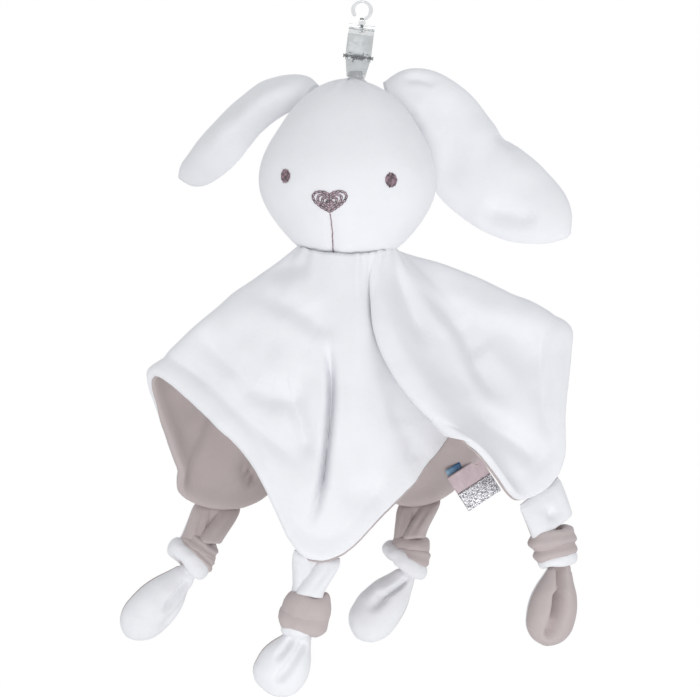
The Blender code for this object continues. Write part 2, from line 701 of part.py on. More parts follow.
def make_face():
    for name, across, share, width in zip(
        ("eye_left", "eye_right"), EYE_ACROSS, EYE_DROP_SHARES, EYE_WIDTHS
    ):
        add_patch(name, across, share * HEAD_HEIGHT, lambda angle, width=width: (
            math.cos(angle) * width / 2, math.sin(angle) * EYE_HEIGHT / 2))
    add_patch("nose", NOSE_ACROSS, NOSE_DROP_SHARE * HEAD_HEIGHT, heart)
    top, bottom = (share * HEAD_HEIGHT for share in MOUTH_DROP_SHARES)

    def thread(across, along):
        place, normal = head_front(
            NOSE_ACROSS + (across - 1 / 2) * MOUTH_WIDTH, top + (bottom - top) * along
        )
        return place + normal * 2 * GAP

    work = grid(1, MOUTH_RINGS, thread)
    work.normal_update()
    if sum((face.normal.y for face in work.faces)) > 0:
        bmesh.ops.reverse_faces(work, faces=work.faces)
    mouth = add_part("mouth_stitch", new_mesh("mouth_stitch", work), "thread")
    raised = mouth.modifiers.new("thread", "SOLIDIFY")
    raised.thickness = STITCH_HEIGHT
    raised.offset = 1


def make_tuft():
    """The pinch of cloth at the crown that the jaws hold."""
    foot = CROWN.z - HEAD_BELOW_JAW + GAP

    def place(angle, along):
        width = TUFT_WIDTH / 2 * (1 - along * TUFT_TAPER_SHARE)
        return Vector((
            JAW_TIP.x + width * math.cos(angle),
            TUFT_THICK / 2 * math.sin(angle),
            foot + (TUFT_HEIGHT + HEAD_BELOW_JAW) * along,
        ))

    tuft_mesh = loft_mesh("crown_tuft", TUFT_SIDES, TUFT_RINGS, place)
    tuft = add_part("crown_tuft", tuft_mesh, "white")
    boolean(tuft, "DIFFERENCE", head_cutter())


def head_cutter():
    cutter = bpy.data.objects.get("head_clearance")
    if cutter is None:
        profile = [(point.x, point.y) for point in head_profile(-EAR_HEAD_GAP)]
        profile[-1:] = [profile[-1], (0, profile[-1][1])]
        mesh = flattened(turned_mesh("head_clearance", profile, HEAD_STEPS))
        cutter = add_cutter("head_clearance", mesh)
    return cutter


# The ears

def spine_point(shares, share):
    steps = len(shares) - 1
    rows = [[(index / steps, row[axis]) for index, row in enumerate(shares)] for axis in range(3)]
    across, back, down = (read_shares(row, share) for row in rows)
    return CROWN + Vector((across, back, -down)) * EAR_LENGTH


def make_ear(name, shares, hinge, face, bend_deg):
    """A padded strip along its middle line, bent across its width to be hollow behind."""
    bend = math.radians(bend_deg)

    def place(angle, along):
        middle = spine_point(shares, along)
        before = spine_point(shares, max(along - EAR_LOOK_SHARE, 0))
        after = spine_point(shares, min(along + EAR_LOOK_SHARE, 1))
        ahead = (after - before).normalized()
        outward = Vector(face)
        outward = (outward - ahead * outward.dot(ahead)).normalized()
        side = ahead.cross(outward)
        width = read_shares(EAR_WIDTH_SHARES, along) * EAR_WIDTH / 2
        turn = bend * math.cos(angle) / 2
        radius = 2 * width / bend
        across = radius * math.sin(turn)
        inward = radius * (1 - math.cos(turn)) - radius * (1 - math.cos(bend / 4))
        fill = min(1, EAR_FILL_SHARE + 3 * width / EAR_WIDTH)
        puff = EAR_THICK / 2 * math.sin(angle) * fill
        direction = side * math.sin(turn) + outward * math.cos(turn)
        return middle + side * across - outward * inward + direction * puff

    ear = add_part(name, loft_mesh(name, EAR_SIDES, EAR_RINGS, place), "white")
    (across, back, down), line = hinge
    root = CROWN + Vector((across, back, -down)) * EAR_LENGTH
    for number, flop_deg in enumerate(EAR_FLOP_DEG):
        turned = Matrix.Rotation(math.radians(flop_deg), 4, Vector(line))
        swept = head_cutter().data.copy()
        swept.transform(Matrix.Translation(root) @ turned @ Matrix.Translation(-root))
        boolean(ear, "DIFFERENCE", add_cutter(f"{name}_clearance_{number}", swept))


# The blanket

NECK = Vector((
    CROWN.x - NECK_LEFT, 0, CROWN.z - HEAD_SHARES[-1][0] * HEAD_HEIGHT + NECK_RISE
))
CORNER_RAY = BLANKET_HALF * math.sqrt(2) - CORNER_CUT


def flat_ray(flat_deg):
    """How far the flat cloth reaches from its middle at this angle from its first corner."""
    from_corner = abs((flat_deg + 45) % 90 - 45)
    to_edge = BLANKET_HALF / math.cos(math.radians(45 - from_corner))
    return min(to_edge, CORNER_RAY / math.cos(math.radians(from_corner)))


def hang_values(flat_deg):
    """The neck angle, end and bow of the fold line at this angle, read smoothly round."""
    flat_deg = flat_deg % 360
    rows = []
    for angle, neck, end, bow in HANG_SHARES:
        rows.append((angle, (neck, *end, *bow)))
    table = [(row[0] - 360, (row[1][0] - 360, *row[1][1:])) for row in rows[-2:]]
    table += rows
    table += [(row[0] + 360, (row[1][0] + 360, *row[1][1:])) for row in rows[:2]]
    angles = np.array([row[0] for row in table], dtype=float)
    values = np.array([row[1] for row in table], dtype=float)
    at = int(np.searchsorted(angles, flat_deg, side="right")) - 1
    width = angles[at + 1] - angles[at]
    slopes = []
    for here in (at, at + 1):
        back = (values[here] - values[here - 1]) / (angles[here] - angles[here - 1])
        ahead = (values[here + 1] - values[here]) / (angles[here + 1] - angles[here])
        slopes.append((back + ahead) / 2)
    blend = (flat_deg - angles[at]) / width
    return hermite(blend, values[at], values[at + 1], slopes[0] * width, slopes[1] * width)


def neck_point(turn, radius):
    """A point round the neck; the ring that these make hangs lower below the chin."""
    lower = NECK_FRONT_DROP * max(0, -math.sin(turn)) ** 2
    return NECK + Vector((radius * math.cos(turn), radius * math.sin(turn), -lower))


def drape(flat_deg, share):
    """Where a point of the cloth hangs: its flat angle, and its share from neck to hem."""
    point = Vector()
    for step, weight in enumerate(ROUND_SHARES):
        off = (step - (len(ROUND_SHARES) - 1) / 2) * ROUND_STEP_DEG
        point += hang_point(flat_deg + off, share) * weight
    return point


def hang_point(flat_deg, share):
    values = hang_values(flat_deg)
    turn = math.radians(values[0])
    start = neck_point(turn, NECK_RADIUS)
    end = start + Vector(values[1:4]) * BLANKET_HALF
    control = (start + end) / 2 + Vector(values[4:7]) * BLANKET_HALF * 2
    point = start * (1 - share) ** 2 + control * 2 * share * (1 - share) + end * share**2
    outward = Vector((end.x - NECK.x, end.y - NECK.y, 0)).normalized()
    for angle, width, height in RIPPLE_SHARES:
        off = (flat_deg - angle + 180) % 360 - 180
        point += outward * height * BLANKET_HALF * share * math.exp(-((off / width) ** 2))
    return point


def cloth_angles():
    angles = list(FOLD_EDGE_DEG)
    for corner in (90, 180, 270):
        angles += [corner + angle for angle in PLAIN_EDGE_DEG]
    return angles + [FOLD_EDGE_DEG[0] + 360]


def add_layer(name, colour, side, hem_in):
    """One layer of the blanket, on the outer (1) or inner (-1) side of the hanging surface."""
    angles = cloth_angles()

    def place(across, along):
        angle = angles[round(across * (len(angles) - 1))]
        reach = flat_ray(angle) - NECK_RADIUS
        return drape(angle, min(along, 1 - hem_in / reach))

    work = grid(len(angles) - 1, DRAPE_RINGS, place)
    bmesh.ops.remove_doubles(work, verts=work.verts, dist=WELD)
    bmesh.ops.triangulate(work, faces=work.faces, quad_method="FIXED")
    work.normal_update()
    middle = NECK - Vector((0, 0, BLANKET_HALF))
    facing = sum((face.normal.dot(face.calc_center_median() - middle) for face in work.faces))
    if facing < 0:
        bmesh.ops.reverse_faces(work, faces=work.faces)
        work.normal_update()
    shifts = [point.normal * side * LAYER_GAP / 2 for point in work.verts]
    for point, shift in zip(work.verts, shifts):
        point.co += shift
    layer = add_part(name, new_mesh(name, work), colour)
    cloth = layer.modifiers.new("cloth", "SOLIDIFY")
    cloth.thickness = CLOTH_THICK
    cloth.offset = side


def make_neck_tie():
    """The gathered middle of the blanket, tied round the neck stub."""
    inner = NECK_HOLE_RADIUS + 2 * GAP + NECK_LEFT
    middle = (inner + NECK_RADIUS - CLOTH_THICK - 2 * GAP) / 2
    thick = NECK_RADIUS - CLOTH_THICK - 2 * GAP - inner

    def place(angle, along):
        turn = math.tau * along
        radius = middle + thick / 2 * math.cos(turn)
        height = TIE_RADIUS * math.sin(turn) - 2 * TIE_RADIUS
        return neck_point(angle, radius) + Vector((0, 0, height))

    work = grid(TIE_SIDES, TIE_RINGS, lambda across, along: place(across * math.tau, along))
    bmesh.ops.remove_doubles(work, verts=work.verts, dist=WELD)
    bmesh.ops.recalc_face_normals(work, faces=work.faces)
    add_part("neck_gather", new_mesh("neck_gather", work), "white")


# The legs

def soft_ring(angle, width, depth, dent):
    """A point of a soft cross-section, creased in front by a share of its depth."""
    across, back = math.cos(angle) * width / 2, math.sin(angle) * depth / 2
    if back < 0:
        back *= 1 - dent * math.exp(-((across / (width * CREASE_SHARE)) ** 2))
    return across, back


def make_leg(name, colours, flat_deg, strap_way, foot_way, foot_share):
    """A strap that swings below its hem with the knot at its end, and the foot on its ball."""
    side_in = math.degrees(math.atan2(CORNER_CUT, CORNER_RAY))
    left, right = drape(flat_deg - side_in, 1), drape(flat_deg + side_in, 1)
    across = left - right if (left - right).x > 0 else right - left
    strap_way = Vector(strap_way)
    bar = STRAP_TOP_DEPTH / 2
    hinge = (left + right) / 2 + strap_way * (bar + HEM_DROP)
    leg_place = frame_on(hinge, across, -strap_way)
    leg = add_frame(f"{name}_hinge", leg_place)
    way = leg_place.to_3x3().transposed() @ strap_way
    level, squared = Vector((1, 0, 0)), Vector((-way.z, 0, way.x))

    def strap(angle, along):
        if along < BAR_SHARE:
            turn = along / BAR_SHARE * math.pi / 2
            depth = STRAP_TOP_DEPTH * math.sin(turn)
            width = STRAP_TOP_WIDTH - STRAP_TOP_DEPTH * (1 - math.sin(turn))
            middle, dent, blend = Vector((0, 0, bar * math.cos(turn))), 0, 0
        else:
            blend = (along - BAR_SHARE) / (1 - BAR_SHARE)
            deeper = math.sin(blend * math.pi / 2)
            width = STRAP_TOP_WIDTH + (STRAP_END_WIDTH - STRAP_TOP_WIDTH) * blend
            depth = STRAP_TOP_DEPTH + (STRAP_END_DEPTH - STRAP_TOP_DEPTH) * deeper
            middle, dent = way * STRAP_LENGTH * blend, math.sin(blend * math.pi) * STRAP_DENT
        wide, deep = soft_ring(angle, width, depth, dent)
        return middle + level.lerp(squared, blend) * wide + Vector((0, deep, 0))

    strap_mesh = loft_mesh(f"{name}_strap", LEG_SIDES, STRAP_RINGS, strap)
    add_part(f"{name}_strap", strap_mesh, colours[0], leg)
    knot_top = hinge + strap_way * (STRAP_LENGTH + KNOT_DROP)
    knot_frame = add_frame(f"{name}_knot_place", frame_from(knot_top, across, -strap_way))
    ball_drop = KNOT_HEIGHT + ANKLE_RADIUS / 2
    socket = ANKLE_RADIUS + 2 * GAP
    mouth_turn = math.acos(ANKLE_RADIUS / 2 / socket)

    def knot(angle, along):
        ring = round(along * (KNOT_RINGS + SOCKET_RINGS))
        if ring > KNOT_RINGS:
            turn = mouth_turn * (KNOT_RINGS + SOCKET_RINGS - ring) / (SOCKET_RINGS - 1)
            radius = socket * math.sin(turn)
            height = socket * math.cos(turn) - ball_drop
            return Vector((radius * math.cos(angle), radius * math.sin(angle), height))
        share = ring / KNOT_RINGS
        slant = KNOT_SLANT_SHARE * math.cos(angle) * math.sin(math.pi * share) ** 2
        size = read_shares(KNOT_SHARES, min(max(share + slant, 0), 1))
        wide = size * KNOT_WIDTH / 2 * math.cos(angle)
        deep = size * KNOT_DEPTH / 2 * math.sin(angle)
        return Vector((wide, deep, -share * KNOT_HEIGHT))

    rings = KNOT_RINGS + SOCKET_RINGS
    knot_mesh = loft_mesh(f"{name}_knot", LEG_SIDES, rings, knot)
    add_part(f"{name}_knot", knot_mesh, colours[1], knot_frame)
    ankle = knot_top + strap_way * ball_drop
    foot_frame = add_frame(f"{name}_ankle", frame_from(ankle, across, -Vector(foot_way)))

    def foot(angle, along):
        if along < BALL_SHARE:
            turn = along / BALL_SHARE * math.pi / 2
            radius = ANKLE_RADIUS * math.sin(turn)
            height = ANKLE_RADIUS * math.cos(turn)
            return Vector((radius * math.cos(angle), radius * math.sin(angle), height))
        blend = (along - BALL_SHARE) / (1 - BALL_SHARE)
        size = read_shares(FOOT_SHARES, blend)
        dent = math.sin(blend * math.pi) * FOOT_DENT
        width = size * FOOT_WIDTH
        rounder = (1 - blend) * (FOOT_WIDTH - FOOT_DEPTH)
        wide, deep = soft_ring(angle, width, size * (FOOT_DEPTH + rounder), dent)
        return Vector((wide, deep, -blend * foot_share * FOOT_LENGTH))

    foot_mesh = loft_mesh(f"{name}_foot", LEG_SIDES, FOOT_RINGS, foot)
    add_part(f"{name}_foot", foot_mesh, colours[2], foot_frame)
    return hinge, across.normalized(), ankle


# The tags

def make_tags():
    hem = drape(TAG_FLAT_DEG, 1)
    tilt = math.radians(TAG_TILT_DEG)
    across = Vector((math.cos(tilt), 0, math.sin(tilt)))
    up = Vector((-math.sin(tilt), 0, math.cos(tilt)))
    origin = hem + Vector((0, -TAG_FORWARD, 0)) - up * TAG_DROP
    frame = add_frame("tag_hinge", frame_from(origin, across, up))
    loop, top, bottom = TAG_LOOP, -RIBBON_DROP, -RIBBON_DROP - TAG_LENGTH
    outline = [(-loop, top), (-loop, bottom + loop), (0, bottom), (loop, bottom + loop), (loop, top)]
    work = bmesh.new()
    points = [work.verts.new((-TAG_WIDTH / 2, back, up_by)) for back, up_by in outline]
    edges = [work.edges.new(pair) for pair in zip(points, points[1:])]
    made = bmesh.ops.extrude_edge_only(work, edges=edges)
    moved = [item for item in made["geom"] if isinstance(item, bmesh.types.BMVert)]
    bmesh.ops.translate(work, verts=moved, vec=(TAG_WIDTH, 0, 0))
    ribbon = add_part("ribbon_tag", new_mesh("ribbon_tag", work), "satin", frame)
    cloth = ribbon.modifiers.new("cloth", "SOLIDIFY")
    cloth.thickness = TAG_THICK
    cloth.offset = 0
    front = -loop - TAG_THICK / 2 - GAP
    band = box_mesh(
        "silver_band",
        (-TAG_WIDTH / 2, front - BAND_THICK, bottom + loop),
        (TAG_WIDTH / 2, front, bottom + TAG_LENGTH * BAND_SHARE),
    )
    add_part("silver_band", band, "silver", frame)
    label_back = loop + TAG_THICK / 2 + GAP
    label = box_mesh(
        "care_label",
        (-LABEL_WIDTH / 2 - LABEL_SIDE, label_back, -LABEL_LENGTH),
        (LABEL_WIDTH / 2 - LABEL_SIDE, label_back + LABEL_THICK, 0),
    )
    add_part("care_label", label, "blue", frame)
    return origin


def build():
    make_hook()
    lean = Matrix.Translation((0, 0, -CLIP_DROP)) @ Matrix.Rotation(LEAN, 4, "Y")
    clip_frame = add_frame("clip_frame", lean)
    make_clip(clip_frame)
    print("pin", tuple(round(value, 5) for value in lean @ Vector((0, 0, -PIN_DROP))))
    make_head()
    make_face()
    make_tuft()
    make_ear(
        "ear_left", LEFT_EAR_SHARES, LEFT_EAR_HINGE_SHARES, LEFT_EAR_FACE, LEFT_EAR_BEND_DEG
    )
    make_ear(
        "ear_right", RIGHT_EAR_SHARES, RIGHT_EAR_HINGE_SHARES, RIGHT_EAR_FACE,
        RIGHT_EAR_BEND_DEG,
    )
    add_layer("blanket_top", "white", 1, 0)
    add_layer("blanket_lining", "taupe", -1, LINING_IN)
    make_neck_tie()
    for leg in LEGS:
        places = make_leg(*leg)
        print(leg[0], [tuple(round(value, 5) for value in place) for place in places])
    print("neck", tuple(round(value, 5) for value in NECK))
    print("tag", tuple(round(value, 5) for value in make_tags()))


build()
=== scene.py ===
"""Looks of the rabbit comfort blanket: pile cloth, thread, satin and clear plastic on its frame.

Metres, +Z up. The face looks along -Y and the toy hangs from the inside of its hook.
"""

import math

import bmesh
import bpy
import numpy as np
from bpy.props import FloatProperty, FloatVectorProperty, IntProperty, PointerProperty
from mathutils import Matrix, Vector, noise


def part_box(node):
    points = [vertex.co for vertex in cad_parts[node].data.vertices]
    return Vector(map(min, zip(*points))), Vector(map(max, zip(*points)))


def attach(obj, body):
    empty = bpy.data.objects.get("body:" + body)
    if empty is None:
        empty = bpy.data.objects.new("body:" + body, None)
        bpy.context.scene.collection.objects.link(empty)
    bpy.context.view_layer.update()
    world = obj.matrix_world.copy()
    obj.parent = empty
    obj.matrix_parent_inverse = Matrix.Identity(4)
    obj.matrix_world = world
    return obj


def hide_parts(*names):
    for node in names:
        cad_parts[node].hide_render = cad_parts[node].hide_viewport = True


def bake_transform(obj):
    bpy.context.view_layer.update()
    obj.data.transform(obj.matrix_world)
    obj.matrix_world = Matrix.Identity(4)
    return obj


bl_info = {
    "name": "Rabbit comfort blanket",
    "version": (1, 0, 0),
    "blender": (4, 5, 0),
    "location": "3D View > Sidebar > Comfort",
    "description": "Sews a hanging rabbit comfort blanket over its frame",
    "category": "Mesh",
}

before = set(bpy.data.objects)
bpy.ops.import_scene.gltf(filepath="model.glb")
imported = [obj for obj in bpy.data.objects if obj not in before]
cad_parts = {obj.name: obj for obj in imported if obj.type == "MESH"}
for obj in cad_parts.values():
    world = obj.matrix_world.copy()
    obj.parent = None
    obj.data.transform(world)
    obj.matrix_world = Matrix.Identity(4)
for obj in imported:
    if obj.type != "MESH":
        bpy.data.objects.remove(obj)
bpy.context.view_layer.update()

MM = 0.001
WELD = 0.001 * MM
TINY = 1e-12
UV_NAME = "UVMap"

# The head, as on its frame
HEAD_WIDTH, HEAD_DEPTH, HEAD_HEIGHT = 90.4 * MM, 78.0 * MM, 92.8 * MM
FLAT_SHARE = HEAD_DEPTH / HEAD_WIDTH
CROWN = Vector((-6.690, 0, -39.599)) * MM
HEAD_SHARES = (
    (0.0, 0.0), (0.012, 0.14), (0.05, 0.345), (0.105, 0.52), (0.185, 0.675), (0.28, 0.80),
    (0.38, 0.91), (0.49, 0.985), (0.60, 1.0), (0.70, 0.945), (0.79, 0.845), (0.875, 0.71),
    (0.945, 0.55), (0.985, 0.39),
)
HEAD_SEAMS_DEG = (90, 28, 152)
# the left cheek and the chin: how far out, its side in degrees and its spread, its share of the
# head's height down and its spread
HEAD_SWELLS = ((1.9 * MM, 182, 42, 0.56, 0.22), (4.2 * MM, 268, 48, 0.95, 0.06))
# the eyes: node, across, below the crown, width
EYES = (
    ("eye_left", -31.9 * MM, 52.8 * MM, 4.4 * MM), ("eye_right", 21.2 * MM, 55.4 * MM, 5.8 * MM),
)
EYE_HEIGHT = 7.4 * MM
EYE_HOLLOW, EYE_HOLLOW_REACH = 0.7 * MM, 6 * MM
NOSE_ACROSS, NOSE_DROP = -9.6 * MM, 65.2 * MM
NOSE_WIDTH, NOSE_HEIGHT = 18.6 * MM, 13.2 * MM
HEART_SHARES = (0.81, -0.31, -0.12)
NOSE_HEART_SHARES = (0.91, 0.66, 0.42, 0.18)
CHAIN_HALF_WIDTH = 0.56 * MM
MUZZLE_RISE, MUZZLE_WIDTH, MUZZLE_HEIGHT = 0.8 * MM, 12 * MM, 8 * MM
MOUTH_DROPS = (72.0 * MM, 90.4 * MM)
MOUTH_DRIFT = 2.3 * MM
MOUTH_STITCHES = 11
MOUTH_HOLLOW, MOUTH_HOLLOW_REACH = 0.8 * MM, 2.2 * MM
# threads: a direction that none follows, and how their ends taper
THREAD_UP = (0.3, 0.2, 0.93)
POINT_SHARE, POINT_SLOPE = 0.35, 5

# The ears
EAR_LENGTH, EAR_WIDTH, EAR_THICK = 120.0 * MM, 50.0 * MM, 5.0 * MM
EAR_WIDTH_SHARES = (
    (0.0, 0.36), (0.10, 0.60), (0.20, 0.76), (0.32, 0.86), (0.42, 0.93), (0.51, 0.99),
    (0.65, 1.0), (0.77, 0.90), (0.87, 0.71), (0.95, 0.42), (1.0, 0.06),
)
RIGHT_EAR_SHARES = (
    (0.165, 0.060, 0.076), (0.300, 0.090, 0.060), (0.411, 0.110, 0.142), (0.482, 0.115, 0.253),
    (0.548, 0.105, 0.366), (0.648, 0.090, 0.449), (0.754, 0.075, 0.522), (0.859, 0.060, 0.593),
    (0.958, 0.050, 0.676),
)
LEFT_EAR_SHARES = (
    (-0.162, 0.040, 0.057), (-0.247, 0.095, 0.028), (-0.337, 0.170, 0.035), (-0.427, 0.250, 0.074),
    (-0.508, 0.330, 0.133), (-0.581, 0.410, 0.201), (-0.655, 0.485, 0.263), (-0.724, 0.550, 0.322),
    (-0.785, 0.600, 0.374),
)
# folds of the ears as the blanket's are given, on the side towards the front
EAR_FOLDS = {
    "ear_left": (
        (4, 9, 4.4, 2, ((-29.3, -42.3), (-48.9, -47.2), (-66.0, -59.8), (-80.1, -70.2),
            (-90.8, -77.5))),
        (-1.6, 5, 5, 2, ((-32.4, -38.9), (-45.6, -39.1), (-60.3, -47.4), (-76.6, -60.5))),
    ),
    "ear_right": (
        (-3, 8, 8, 2, ((40.0, -40.7), (44.2, -59.6), (47.3, -80.7), (49.3, -99.7))),
        (1.6, 5, 5, 2, ((26.4, -44.8), (32.7, -58.4), (36.8, -70.1))),
        (2.6, 9, 9, 2, ((56.7, -54.5), (68.2, -70.3), (82.8, -88.8), (88.0, -97.7))),
        (-3.6, 5, 5, 2, ((60.8, -106.0), (77.6, -108.1), (93.2, -113.4))),
        (1.6, 4, 4, 2, ((50.4, -104.9), (67.1, -116.5), (88.0, -122.8))),
        (-2.2, 2.6, 2.6, 2, ((21.1, -38.5), (30.6, -37.4), (40.0, -40.7))),
        (-2.5, 4, 4, 2, ((69.2, -64.0), (75.0, -68.2), (82.9, -73.5))),
    ),
}
# the ears: node, line, bend across in degrees, the way it faces, share of the width
EARS = (
    ("ear_left", LEFT_EAR_SHARES, 150, (-0.50, -0.70, 0.66), 0.94),
    ("ear_right", RIGHT_EAR_SHARES, 60, (0.10, -1.0, 0.12), 1.0),
)

# The blanket's hang: flat angle and neck angle in degrees, end and bow in half sides
BLANKET_HALF = 130.0 * MM
CORNER_CUT = 12.0 * MM
CORNER_RAY = BLANKET_HALF * math.sqrt(2) - CORNER_CUT
NECK_RADIUS = 24.5 * MM
NECK_HOLE = 13.0 * MM
NECK_PLEATS = 26
NECK = Vector((-8.290, 0, -129.307)) * MM
LAYER_OFFSET = 0.7 * MM
CLOTH_THICK = 0.7 * MM
HEM_WRAP_DEG = 160
STITCH_LINE = 9.5 * MM
HANG_SHARES = (
    (4.0, -85, (-0.030, -0.143, -1.158), (0.0, -0.035, 0.0)),
    (14.0, -77, (0.062, -0.085, -1.010), (-0.03, -0.045, 0.0)),
    (25.0, -68, (0.195, -0.018, -0.868), (-0.07, -0.05, 0.0)),
    (33.0, -62, (0.268, 0.028, -0.765), (-0.10, -0.058, 0.0)),
    (41.0, -56, (0.350, 0.070, -0.647), (-0.120, -0.062, 0.0)),
    (57.0, -42, (0.240, -0.190, -0.712), (-0.125, -0.054, -0.030)),
    (66.0, -30, (0.312, -0.260, -0.723), (-0.125, -0.054, -0.030)),
    (86.0, -6, (0.514, -0.072, -1.011), (0.02, -0.02, 0.02)),
    (94.0, 4, (0.652, -0.059, -0.908), (0.03, -0.01, 0.03)),
    (115.0, 17, (0.695, 0.006, -0.643), (0.02, 0.0, 0.04)),
    (135.0, 30, (0.755, 0.121, -0.302), (0.02, 0.01, 0.05)),
    (176.0, 62, (0.314, 0.395, -1.046), (0.0, 0.03, 0.02)),
    (184.0, 76, (0.172, 0.409, -1.068), (0.0, 0.03, 0.02)),
    (225.0, 100, (-0.030, 0.615, -0.536), (0.0, 0.03, 0.04)),
    (266.0, 138, (-0.296, 0.351, -1.073), (-0.01, 0.03, 0.02)),
    (274.0, 150, (-0.476, 0.306, -1.044), (-0.02, 0.02, 0.02)),
    (294.0, 170, (-0.515, 0.105, -0.812), (-0.01, 0.02, 0.03)),
    (315.0, 190, (-0.595, -0.121, -0.458), (-0.01, -0.02, 0.03)),
    (326.0, 203, (-0.441, -0.142, -0.556), (-0.01, -0.03, 0.02)),
    (336.0, 217, (-0.308, -0.156, -0.691), (-0.005, -0.035, 0.01)),
    (346.0, 230, (-0.193, -0.171, -0.846), (0.0, -0.035, 0.005)),
    (356.0, 242, (-0.112, -0.188, -1.172), (0.0, -0.035, 0.0)),
)
RIPPLE_SHARES = (
    (20, 9, 0.030), (76, 7, 0.030), (162, 8, -0.030), (205, 10, -0.04), (248, 10, 0.030),
    (331, 7, 0.020),
)
NECK_FRONT_DROP = 4.6 * MM
# shallower ripples of the cloth alone: flat angle, width, height, and where along they begin
FINE_RIPPLE_SHARES = (
    (352, 4, -0.010, 0.3), (28, 3, -0.012, 0.5), (86, 4, -0.012, 0.2), (150, 5, 0.014, 0.2),
    (138, 4, -0.014, 0.2), (190, 5, 0.016, 0.3), (214, 4, -0.016, 0.3), (236, 4, 0.016, 0.3),
    (254, 3, -0.014, 0.3), (279, 4, 0.012, 0.3), (288, 3, -0.012, 0.4),
)
# folds that show from in front: height (negative for a valley) and width on either side of the
# line in mm, how square the fold is, and the line itself as (across, up) in mm
FRONT_FOLDS = (
    (-11.0, 2.9, 2.5, 3, ((-18.8, -173.5), (-17.3, -179.5), (-16.2, -185.5), (-15.4, -195.6),
        (-15.5, -205.8), (-16.3, -215.9), (-17.3, -226.0), (-18.4, -236.2), (-19.8, -246.3),
        (-22.5, -256.5), (-27.5, -269.0))),
    (-3.4, 4.5, 4.5, 2, ((-50.9, -143.9), (-41.7, -139.8), (-31.6, -138.8), (-23.5, -140.9))),
    (3.2, 8, 8, 2, ((-74.7, -155.1), (-59.5, -159.6), (-44.3, -164.2), (-31.6, -170.3),
        (-22.5, -177.9), (-18.4, -186.5))),
    (-3.6, 6, 6, 2, ((-52.9, -153.0), (-41.7, -156.6), (-30.6, -161.6), (-19.4, -170.3),
        (-14.4, -179.4))),
    (1.6, 12, 12, 2, ((-41.7, -145.9), (-31.6, -153.0), (-25.5, -163.2))),
    (-1.2, 10, 10, 2, ((-70.0, -172.3), (-52.9, -178.3), (-39.2, -184.4))),
    (-6.2, 6, 7.5, 2, ((-89.4, -166.2), (-80.3, -175.3), (-71.1, -184.5), (-62.0, -191.6),
        (-55.9, -199.7), (-45.8, -204.7), (-34.6, -204.7), (-25.5, -199.7))),
    (-1.6, 7, 7, 2, ((-37.7, -208.8), (-32.6, -201.7), (-28.5, -194.6), (-25.5, -186.5))),
    (-4.4, 4, 4.6, 2, ((-40.7, -201.7), (-34.6, -207.8), (-30.6, -216.9), (-28.0, -228.1),
        (-27.5, -237.2))),
    (-4, 4, 8, 2, ((-107.6, -178.4), (-93.4, -186.5), (-76.2, -197.6), (-63.0, -209.8),
        (-50.9, -221.5), (-37.7, -232.1), (-23.5, -243.3))),
    (1.5, 9, 9, 2, ((-56.9, -231.1), (-44.3, -240.2), (-31.6, -250.4), (-25.5, -259.0))),
    (-2.4, 8, 8, 2, ((-13.8, -251.4), (-0.2, -252.4), (14.0, -249.4))),
    (-7, 4.4, 2.8, 2, ((1.9, -130.7), (4.4, -140.9), (5.9, -151.0), (8.0, -161.1), (11.0, -171.3),
        (16.1, -181.4), (22.7, -191.6), (29.8, -201.2), (37.4, -210.3), (45.5, -218.9))),
    (-1.2, 6, 6, 2, ((16.1, -195.6), (18.1, -206.8), (16.6, -221.0))),
    (-1.2, 7, 7, 2, ((21.1, -217.9), (24.7, -228.1), (26.2, -239.2))),
    (1.2, 10, 8, 2, ((-6.2, -150.0), (-5.2, -180.4), (-3.2, -221.0))),
)
RIGHT_FOLDS = (
    (3, 5, 5, 2, ((2.9, -135.8), (11.0, -157.6), (17.1, -174.3), (25.2, -187.5), (34.3, -199.7),
        (44.5, -209.8), (55.6, -219.9), (67.3, -230.1), (80.0, -243.3))),
    (-5, 4, 4, 2, ((14.0, -131.7), (19.1, -148.0), (24.7, -162.7), (32.3, -180.4))),
    (3, 5, 4, 2, ((19.1, -131.7), (29.2, -147.4), (36.3, -162.1), (42.4, -177.4))),
    (-1.2, 8, 8, 2, ((34.3, -178.4), (38.4, -188.5), (42.4, -200.7))),
    (-8, 3.2, 10, 2, ((27.2, -144.9), (37.4, -156.1), (44.5, -164.2), (50.5, -172.3),
        (54.6, -180.4), (58.7, -191.6), (64.7, -201.7), (71.8, -211.8))),
    (3, 6, 2.5, 2, ((34.3, -157.1), (46.5, -173.3), (50.0, -181.4), (54.6, -192.6),
        (61.7, -202.2), (71.8, -210.8))),
    (-4, 8, 9, 2, ((46.5, -165.2), (53.6, -175.3), (60.7, -186.5))),
    (-3, 9, 9, 2, ((64.7, -161.1), (82.5, -177.9), (92.6, -196.6))),
    (-7.5, 5, 7, 2, ((47.5, -207.8), (62.7, -218.9), (72.9, -224.5), (82.0, -231.1),
        (96.2, -244.3))),
    (2.6, 5, 6, 2, ((39.4, -202.7), (59.7, -208.8), (80.0, -215.9))),
    (2.5, 5, 5, 2, ((100.7, -162.7), (101.8, -195.6), (99.2, -233.6))),
    (-2.2, 3, 3, 2, ((94.7, -165.2), (94.7, -195.6), (93.6, -210.8), (97.7, -233.6))),
    (2.5, 7, 7, 2, ((34.3, -144.9), (59.7, -156.6), (80.0, -164.2), (97.7, -175.3))),
)
SHOULDER_FOLDS = (
    (3.4, 9, 10, 2, ((75.9, -163.2), (90.1, -163.2), (101.2, -167.2), (108.3, -180.4))),
)
BACK_FOLDS = (
    (7, 1.8, 3.6, 2, ((-59.7, -230.0), (-64.1, -243.1), (-60.9, -257.3))),
)
FOLD_END_SHARE = 0.3
